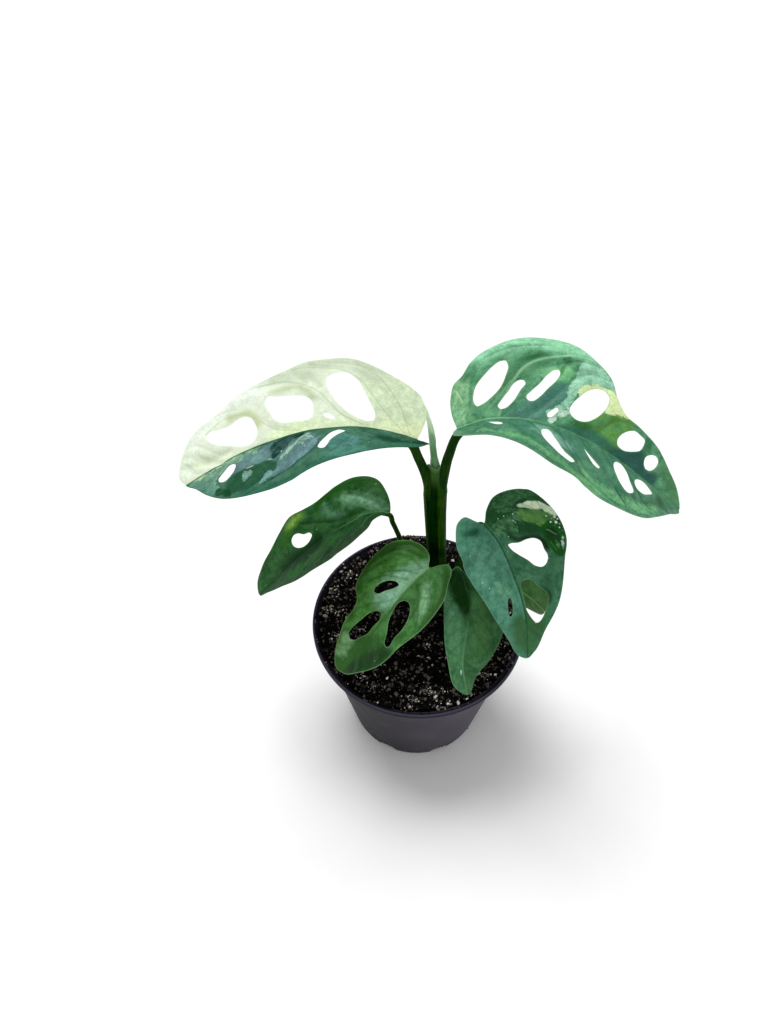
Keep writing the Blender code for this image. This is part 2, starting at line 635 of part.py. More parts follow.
def make_pot(group, scrap):
    step_z = POT_HEIGHT - POT_STEP_BELOW_RIM
    lip_z = POT_HEIGHT - POT_LIP_HEIGHT
    profile = [
        (0.0, POT_FLOOR),
        (wall_radius(POT_FLOOR) - POT_WALL, POT_FLOOR),
        (wall_radius(step_z - 1.0) - POT_WALL, step_z - 1.0),
        (wall_radius(step_z + 0.1) - POT_WALL, step_z + 0.1),
        (POT_RIM_RADIUS - POT_LIP_OVERHANG - POT_WALL + 0.8, POT_HEIGHT),
        (POT_RIM_RADIUS - 0.3, POT_HEIGHT),
        (POT_RIM_RADIUS, POT_HEIGHT - 0.6),
        (POT_RIM_RADIUS, lip_z + 0.4),
        (wall_radius(lip_z), lip_z),
        (wall_radius(step_z + 0.1), step_z + 0.1),
        (wall_radius(step_z - 1.0), step_z - 1.0),
        (wall_radius(POT_FOOT_ROUND), POT_FOOT_ROUND),
        (POT_BASE_RADIUS - POT_FOOT_ROUND, 0.0),
        (0.0, 0.0),
    ]
    pot = turned("pot", profile, group, make_material("pot", POT_COLOUR, 0.42))
    notches = make_collection("drain_notches", scrap)
    for k in range(DRAIN_COUNT):
        angle = 2.0 * math.pi * (k + 0.5) / DRAIN_COUNT
        mesh = bpy.data.meshes.new(f"notch_{k}")
        shape = bmesh.new()
        bmesh.ops.create_cube(shape, size=1.0)
        for vert in shape.verts:
            vert.co.x *= 2.0 * DRAIN_DEPTH * MM
            vert.co.y *= DRAIN_WIDTH * MM
            vert.co.z *= 2.0 * DRAIN_HEIGHT * MM
        shape.to_mesh(mesh)
        shape.free()
        notch = add_object(f"notch_{k}", mesh, notches)
        reach = POT_BASE_RADIUS * MM
        notch.location = (reach * math.cos(angle), reach * math.sin(angle), 0.0)
        notch.rotation_euler = (0.0, 0.0, angle)
        notch.display_type = "WIRE"
        notch.hide_render = True
    bpy.context.view_layer.update()
    cut_or_join(pot, notches, "DIFFERENCE")
    pot.data.shade_smooth()
    pot.data.set_sharp_from_angle(angle=math.radians(30))
    return pot


def soil_height(x, y, waves):
    """Height of the soil at a place, with its heap at the back and its seeded unevenness."""
    heap_x, heap_y = SOIL_HEAP_PLACE
    spread_x, spread_y = SOIL_HEAP_SPREAD
    heap = SOIL_HEAP_HEIGHT * math.exp(-(((x - heap_x) / spread_x) ** 2) - ((y - heap_y) / spread_y) ** 2)
    from_stem = math.hypot(x - STEM_FOOT[0], y - STEM_FOOT[1])
    foot = SOIL_FOOT_HEIGHT * math.exp(-((from_stem / SOIL_FOOT_SPREAD) ** 2))
    rough = sum(size * math.sin(ax * x + ay * y + phase) for size, ax, ay, phase in waves)
    return SOIL_LEVEL + heap + foot + rough


def soil_hole_spots():
    """Middle and radius of the plain hole of each stem in the soil."""
    spots = [(STEM_FOOT[0], STEM_FOOT[1], STEM_SECTIONS[1][3])]
    spots += [(p["path"][0][0], p["path"][0][1], p["radii"][0]) for p in PETIOLES.values()]
    return spots


def make_soil(group, scrap):
    """Soil filling the pot, uneven on top, with lumps sunk into it and holes for the stems."""
    dice = random.Random(SOIL_SEED)
    waves = [
        (size, dice.uniform(-1, 1) * pitch, dice.uniform(-1, 1) * pitch, dice.uniform(0, 2 * math.pi))
        for size, pitch in SOIL_WAVES
    ]
    step_z = POT_HEIGHT - POT_STEP_BELOW_RIM
    edge = wall_radius(SOIL_LEVEL - SOIL_DIP) - POT_WALL - GAP
    rings = max(2, round(edge / SOIL_RING_STEP))
    profile = [(edge * k / rings, SOIL_LEVEL) for k in range(rings + 1)]
    profile += [
        (wall_radius(step_z + 0.1) - POT_WALL - GAP, step_z + 0.1),
        (wall_radius(step_z - 1.0) - POT_WALL - GAP, step_z - 1.0),
        (wall_radius(POT_FLOOR) - POT_WALL - GAP, POT_FLOOR + GAP),
        (0.0, POT_FLOOR + GAP),
    ]
    soil = turned("soil", profile, group, make_material("soil", SOIL_COLOUR, 0.95))
    bpy.context.view_layer.update()
    mesh = baked_mesh(soil)
    soil.modifiers.clear()
    soil.data = mesh
    for vert in mesh.vertices:
        x, y, z = vert.co / MM
        if z > SOIL_LEVEL - 0.01:
            vert.co.z = soil_height(x, y, waves) * MM

    lumps = make_collection("soil_lumps", scrap)
    holes = soil_hole_spots()
    placed = 0
    while placed < SOIL_LUMPS:
        radius = dice.uniform(*SOIL_LUMP_RADII)
        away = (edge - radius - 1.0) * math.sqrt(dice.random())
        angle = dice.uniform(0, 2 * math.pi)
        x, y = away * math.cos(angle), away * math.sin(angle)
        turn = (dice.uniform(0, 3), dice.uniform(0, 3), dice.uniform(0, 3))
        if any(math.hypot(x - hx, y - hy) < radius + hr + 1.5 for hx, hy, hr in holes):
            continue
        shape = bmesh.new()
        bmesh.ops.create_icosphere(shape, subdivisions=1, radius=radius * MM)
        lump_mesh = bpy.data.meshes.new(f"lump_{placed}")
        shape.to_mesh(lump_mesh)
        shape.free()
        lump = add_object(f"lump_{placed}", lump_mesh, lumps)
        lump.location = (x * MM, y * MM, (soil_height(x, y, waves) + 0.15 * radius) * MM)
        lump.rotation_euler = turn
        lump.scale = SOIL_LUMP_SHAPE
        placed += 1
    bpy.context.view_layer.update()
    cut_or_join(soil, lumps, "UNION")

    drills = make_collection("stem_holes", scrap)
    for k, (x, y, radius) in enumerate(holes):
        depth = STEM_BURIED if k == 0 else PETIOLE_BURIED
        drill_mesh = bpy.data.meshes.new(f"drill_{k}")
        shape = bmesh.new()
        bmesh.ops.create_cone(
            shape, cap_ends=True, segments=16, radius1=(radius + HOLE_CLEAR) * MM,
            radius2=(radius + HOLE_CLEAR) * MM, depth=2 * (depth + GAP) * MM,
        )
        shape.to_mesh(drill_mesh)
        shape.free()
        drill = add_object(f"drill_{k}", drill_mesh, drills)
        drill.location = (x * MM, y * MM, SOIL_LEVEL * MM)
        drill.display_type = "WIRE"
        drill.hide_render = True
    bpy.context.view_layer.update()
    cut_or_join(soil, drills, "DIFFERENCE")
    return soil


def main():
    clear_scene()
    root = bpy.context.scene.collection
    plant = make_collection("potted_monstera", root)
    scrap = make_collection("cutters", root)
    make_pot(plant, scrap)
    make_soil(plant, scrap)
    make_stem(plant, scrap)
    make_petioles(plant)
    for name, leaf in LEAVES.items():
        make_leaf(name, leaf, plant)
    new_leaf_green = make_material("new_leaf", NEW_LEAF_COLOUR, 0.4)
    tube_mesh_object("new_leaf", NEW_LEAF_PATH, NEW_LEAF_RADII, plant, new_leaf_green)


main()
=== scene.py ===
"""The looks of a young potted Monstera adansonii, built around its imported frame.

Lengths are in millimetres here and become metres when a mesh is made. +Z is up, and the front
of the plant faces -Y. A leaf is drawn flat first, with u along its midrib from the base and v
across it, positive to the right of someone looking from base to tip, and is then bent.
"""

import math
import random

import bmesh
import bpy
import numpy as np
from mathutils import Matrix, Vector, noise
from mathutils.geometry import delaunay_2d_cdt


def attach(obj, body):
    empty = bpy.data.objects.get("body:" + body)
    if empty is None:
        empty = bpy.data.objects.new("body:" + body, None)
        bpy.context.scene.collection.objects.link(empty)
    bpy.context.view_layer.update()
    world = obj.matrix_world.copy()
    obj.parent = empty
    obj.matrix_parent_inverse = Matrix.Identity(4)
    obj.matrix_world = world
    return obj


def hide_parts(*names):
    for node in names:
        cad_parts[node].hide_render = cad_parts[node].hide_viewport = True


MM = 0.001
BODY = "root"

# Camera, worked out from the rim, the base and the lean of the pot in the photograph
CAMERA_PLACE = (0.0, -205.6, 409.0)
CAMERA_YAW = -4.38
CAMERA_DOWN = 50.09
CAMERA_ROLL = -1.30
CAMERA_LENS = 27.035
CAMERA_SENSOR = 36.0
CAMERA_NEAR = 0.01

# Stage, in metres; its colours are shares of light
FLOOR_SIZE = 6.0
FLOOR_TONES = ((0.92, 0.92, 0.92, 1.0), (0.95, 0.95, 0.95, 1.0))
WHITE = (1.0, 1.0, 1.0, 1.0)
WORLD_STRENGTH = 0.56
KEY_FROM = (-0.2, 0.32, 1.0)
KEY_STRENGTH = 2.2
KEY_SOFTNESS = 30.0
# How strongly the surfaces are lit, the light that each mirrors on top of its own colour, and the
# least share of a colour that is left when that light is taken off
PHOTO_LIGHT = 0.95
MIRRORED = 0.012
LEAST_SHARE = 0.15

# Pot
POT_HEIGHT = 81.0
POT_RIM_RADIUS = 52.5
POT_BASE_RADIUS = 36.0
POT_WALL = 1.4
POT_FLOOR = 1.8
POT_LIP_HEIGHT = 2.4
POT_LIP_OVERHANG = 2.2
POT_STEP_BELOW_RIM = 10.5
POT_STEP = 1.4
POT_SIDES = 160
POT_SHARP_ANGLE = 32.0
DRAIN_COUNT = 8
DRAIN_WIDTH = 9.0
DRAIN_HEIGHT = 4.0
DRAIN_DEPTH = 6.0
# Outline of a drain notch, in shares of its width and of its height
DRAIN_ARCH = (
    (-0.5, -1.0), (0.5, -1.0), (0.5, 0.55), (0.42, 0.85),
    (0.28, 1.0), (-0.28, 1.0), (-0.42, 0.85), (-0.5, 0.55),
)

# Soil
SOIL_LEVEL = 78.0
SOIL_DIP = 3.0
SOIL_GAP = 0.3
SOIL_HEAP_PLACE = (-9.0, 47.0)
SOIL_HEAP_SPREAD = (30.0, 15.0)
SOIL_HEAP_HEIGHT = 6.0
SOIL_FOOT_HEIGHT = 1.2
SOIL_FOOT_SPREAD = 14.0
SOIL_WAVES = ((0.7, 0.18), (0.6, 0.3), (0.5, 0.6), (0.45, 0.9), (0.4, 1.2))
SOIL_SEED = 11
SOIL_LUMP = 2.6
# Fractal noise of the bed: how rough it is, how much finer each layer is, and how many there are
SOIL_FRACTAL = (1.0, 2.2, 3)
SOIL_BED_DROP = 0.4
# The soil banks up against the wall of the pot: how high, from what radius and over what width
SOIL_BANK = 2.3
SOIL_BANK_FROM = 40.0
SOIL_BANK_WIDTH = 8.0
SOIL_GRID = 0.8
SOIL_SIDES = 300
STEM_FOOT = (10.0, 16.0)
STEM_BURIED = 30.0

# Crumbs: name, count, smallest and largest radius, shape, detail, dents, three colours, roughness
CRUMBS = (
    ("soil_crumbs", 6400, (0.35, 1.3), (1.0, 0.85, 0.7), 1, 0.35,
     ((5, 4, 6), (26, 22, 25), (108, 98, 94)), 0.85),
    ("soil_bark", 260, (0.7, 2.0), (1.7, 0.7, 0.45), 2, 0.34,
     ((5, 4, 5), (16, 14, 15), (48, 41, 38)), 0.8),
    ("soil_grit", 2300, (0.2, 0.8), (1.2, 0.8, 0.65), 1, 0.32,
     ((44, 39, 39), (96, 88, 82), (164, 154, 140)), 0.8),
    ("soil_perlite", 300, (0.22, 1.1), (1.15, 0.85, 0.7), 2, 0.2,
     ((156, 152, 144), (206, 202, 192), (246, 244, 236)), 0.9),
)
# Kinds with fewer crumbs than this gather in drifts, more so towards the wall
BASE_CRUMBS = 5000
DRIFT_SIZE = 8.0
DRIFT_TO_WALL = 0.5
DRIFT_RANGE = (-0.25, 0.75)
# Some crumbs lie close to one of the first few: their share, how many to each of those, how close
CRUMBS_IN_CLUSTERS = 0.4
CRUMBS_PER_CLUSTER = 14
CLUSTER_SPREAD = 1.5
# How much of a crumb's largest radius it keeps clear of the wall and the stems, and how it is sunk
CRUMB_CLEAR = 0.6
CRUMB_SUNK = 0.3
CRUMB_UNEVEN = 0.35
CRUMB_SIZE_POWER = 2.2
CRUMB_STRETCH = (0.75, 1.25)
CRUMB_OVERLAP = 1.0

# Clumps of pale bits on the soil: x, y, radius and how many bits
CLUMPS = (
    (7.3, -38.8, 2.4, 34), (-2.6, -47.6, 1.6, 16), (-25.5, -32.2, 3.2, 30), (5.9, -14.4, 2.0, 18),
    (-2.9, -40.9, 1.8, 14), (-45.0, 3.7, 3.0, 34), (-38.3, 2.3, 3.0, 32), (12.9, -37.0, 2.0, 18),
    (11.1, -45.6, 1.8, 16), (15.7, -44.4, 1.6, 14), (0.5, -43.7, 1.6, 14), (32.6, -28.7, 3.0, 26),
    (-31.9, -24.6, 2.6, 22), (-20.5, -36.2, 2.6, 24), (-44.0, 14.0, 3.0, 32), (-36.0, 26.0, 3.2, 34),
    (-27.0, -6.0, 2.2, 16), (40.0, -14.0, 2.4, 18), (-40.0, -12.0, 3.0, 32), (24.0, -38.0, 2.2, 18),
)
CLUMP_HEIGHT = 0.9
CLUMP_SPREAD = 0.5
CLUMP_REACH = 48.2
CLUMP_SHARES = {"soil_grit": 0.8, "soil_perlite": 0.35}

# How many crumbs of each kind are spilled: heaped over the rim at the back, and a few of them
# again on the rim and at the foot of the pot, beside its notches
SPILLED = {"soil_crumbs": 460, "soil_grit": 200, "soil_perlite": 26}
SPILL_MIDDLE = (-5.0, 47.6)
SPILL_SPREAD = 7.0
SPILL_BAND = (45.0, 50.8)
SPILL_HEIGHT = 4.2
SPILL_PILE = (9.0, 4.0)
SPILL_REACH = 51.2
SPILL_SIZE = 0.4
RIM_CRUMBS_RADIUS = 51.0
RIM_CRUMBS_LIFT = 0.1
RIM_CRUMBS_DIVIDE = 10
FOOT_CRUMBS_DIVIDE = 3
FOOT_CRUMBS_OUT = (-1.0, 0.2)
FOOT_CRUMBS_HEIGHT = (1.8, 3.4)
FOOT_CRUMBS_BELOW = 5.0
FOOT_CRUMBS_NEAR_NOTCH = 0.3
FOOT_CRUMBS_LARGEST = 0.8

# Meshes of the leaves
BLADE_THICKNESS = 0.44
SPINE_STEP = 0.5
EDGE_STEP = 0.8
HOLE_STEP = 0.6
GRID_STEP = 0.85
ROW_SHARE = 0.87
COURSE_STEP = 1.5
EDGE_CLEAR = 0.45
RIB_ROWS = (-1.2, -0.7, -0.3, 0.0, 0.3, 0.7, 1.2)
FOLD_SOFTNESS = 0.8
WAVE_LENGTH = 23.0
WAVE_PHASES = (2.6, 0.8)
SLOT_FULLNESS = 0.85
# Side veins: steps when one is followed back to the midrib, how they bend there and towards the
# edge, how far apart they are, and what a blade's half width is taken for at the least
VEIN_STEPS = 20
VEIN_ROOT = 3.0
VEIN_ROOT_SHARE = 0.1
VEIN_SWEEP = 8.0
VEIN_SPACING = 9.0
LEAST_HALF_WIDTH = 4.0
NUDGE = 0.2
# Relief of the blades: depths and widths of the veins, of the midrib and of the keel under it, the
# slow and the fine unevenness with their lengths, and over what distance from the edge and from
# the midrib the relief sets in
VEIN_DEPTH = 0.25
VEIN_WIDTH = 0.55
RIB_DEPTH = 0.24
RIB_WIDTH = 0.7
KEEL_HEIGHT = 0.7
KEEL_WIDTH = 0.8
SLOW_HEIGHT = 0.5
SLOW_LENGTHS = (13.0, 11.0)
FINE_HEIGHT = 0.1
FINE_LENGTHS = (4.0, 4.0)
QUILT_FROM_EDGE = 5.0
QUILT_FROM_RIB = 4.0
UNEVEN_FROM_EDGE = 4.0
LINE_FROM_EDGE = 2.0
LINE_FADE = 2.0
LINE_SPREAD = 1.2
KEEL_TAPER = 0.75
# The rim of a blade: its share of the thickness, and over what distance it grows to the whole
RIM_THICKNESS = 0.45
RIM_TAPER = 1.2
LEAF_SHARP_ANGLE = 55.0
# Limits of the distances that are stored on a leaf, and the least that a point is past a line's end
PATCH_LIMIT = 9.0
LINE_LIMIT = 6.0
PAST_LEAST = -2.0

# Noises in the colours of the leaves: scale in 1/mm, detail, roughness and distortion
CLOUD = (0.1, 4.0, 0.6)
MOTTLE = (0.4, 6.0, 0.65, 0.6)
GRAIN = (1.5, 5.0, 0.7, 0.4)
STREAK = (1.0, 5.0, 0.65, 0.5)
# Patches nearer to the midrib than this lie across it, and the others stay on their own half
PATCH_ACROSS = 1.5

# Drops of water: flat place on the leaf and radius
DROPS = {
    "leaf_front_right": (
        (10.6, -24.8, 0.55), (11.4, -25.7, 0.5), (12.2, -26.3, 0.6), (13.0, -26.9, 0.45),
        (13.6, -25.6, 0.7), (12.3, -24.7, 0.5), (14.4, -26.5, 0.45), (11.0, -23.6, 0.4),
        (12.9, -23.7, 0.45), (15.3, -25.7, 0.4), (14.3, -24.4, 0.35), (16.4, -26.2, 0.35),
        (2.6, -6.4, 0.3), (3.4, -9.0, 0.28), (5.2, -12.6, 0.26), (9.0, 14.5, 0.24),
        (15.0, 9.0, 0.26), (23.5, 14.0, 0.3), (27.0, 12.0, 0.24),
    ),
    "leaf_upper_left": ((42.6, -5.0, 0.45),),
}
DROP_FLATNESS = 0.6
DROP_LIFT = 0.3

# Stem: height, middle x, middle y, half width and half depth of each section. It is a sheath from
# the height SHEATH_FROM on.
STEM_SIDES = 80
SHEATH_FROM = 160.0
STEM_SECTIONS = (
    (SOIL_LEVEL - STEM_BURIED, 10.6, 16.0, 3.6, 3.4), (72.0, 10.0, 16.0, 4.3, 3.9),
    (90.0, 9.2, 15.6, 4.4, 4.0), (110.0, 8.2, 15.0, 4.5, 4.0), (128.0, 7.0, 15.0, 4.7, 4.0),
    (146.0, 6.0, 15.0, 4.9, 4.0), (158.0, 5.5, 15.0, 5.2, 4.0),
    (160.0, 5.6, 15.0, 5.2, 4.0), (166.0, 5.2, 15.1, 5.0, 3.6), (172.0, 4.9, 15.3, 4.5, 2.7),
    (178.0, 4.9, 15.5, 4.2, 1.9),
)
# Height of the sheath's rim at angles round the stem, in degrees from its right side over its back
SHEATH_RIM = (
    (0, 172.0), (45, 174.0), (90, 172.0), (140, 172.0), (180, 174.0), (205, 176.4), (225, 177.6),
    (243, 177.0), (262, 175.8), (280, 175.4), (300, 176.6), (320, 176.8), (340, 174.4), (360, 172.0),
)
SHEATH_RINGS = 14
SHEATH_CLOSING = 0.1
# Rings down inside the sheath, as share of its rim and depth, and the depth of its bottom
SHEATH_MOUTH = ((0.88, 0.3), (0.7, 2.0), (0.4, 4.0))
SHEATH_BOTTOM = 5.0
# The groove down the front of the stem: its depth, the place across and the softness of its two
# sides, the heights where it starts and ends, and over what height it does
GROOVE_DEPTH = 1.3
GROOVE_SIDES = ((-3.3, 0.25), (1.7, 0.35))
GROOVE_ENDS = (76.0, 170.0)
GROOVE_FADE = 12.0
# The back of the stem is painted as this place across it
BACK_FROM = 0.25
BACK_ACROSS = 0.9
# Slow swellings up the stem: strength, length and phase
STEM_KNOTS = ((0.0032, 7.0, 0.0), (0.002, 2.9, 1.0))

# Petioles: sides, and how far past its seat one runs under the midrib with which share of its radius
PETIOLE_SIDES = 24
PETIOLE_STEP = 0.8
PETIOLE_ENDS = ((0.0, 1.0), (2.5, 0.8), (5.0, 0.5), (8.0, 0.22))
# How far its middle lies below the blade there: a share of its radius, and a little more
PETIOLE_HUG = 0.95
PETIOLE_BELOW = 0.15
# How much wider a petiole is just below its leaf, and the place and the length of that knuckle
KNUCKLE = 0.08
KNUCKLE_BEFORE = 0.06
KNUCKLE_LENGTH = 0.05
FOOT_WIDENING = 0.3
FOOT_LENGTH = 0.3
CHANNEL_DEPTH = 0.09
CHANNEL_ANGLE = 1.2
CHANNEL_WIDTH = 0.35

# The rolled new leaf comes out of the sheath and leans back under the upper left leaf. Its radii
# stand at shares of its length, and its free edge winds round it.
SPEAR_PATH = (
    (6.2, 15.0, 166.0), (5.9, 15.2, 169.5), (5.2, 15.8, 173.0), (4.2, 19.6, 177.8), (3.4, 22.8, 182.0),
    (2.3, 25.8, 187.0), (1.0, 28.4, 191.0), (-0.2, 30.4, 194.0), (-0.9, 31.4, 195.2),
)
SPEAR_RADII = (2.5, 2.5, 2.2, 1.55, 1.5, 1.4, 1.1, 0.75, 0.3)
SPEAR_SHARES = (0.0, 0.12, 0.24, 0.36, 0.5, 0.66, 0.8, 0.92, 1.0)
SPEAR_SIDES = 64
SPEAR_STEP = 0.4
ROLL_TURNS = 1.6
ROLL_START = 0.1
ROLL_THINNEST = 0.86
ROLL_STEP = 0.2

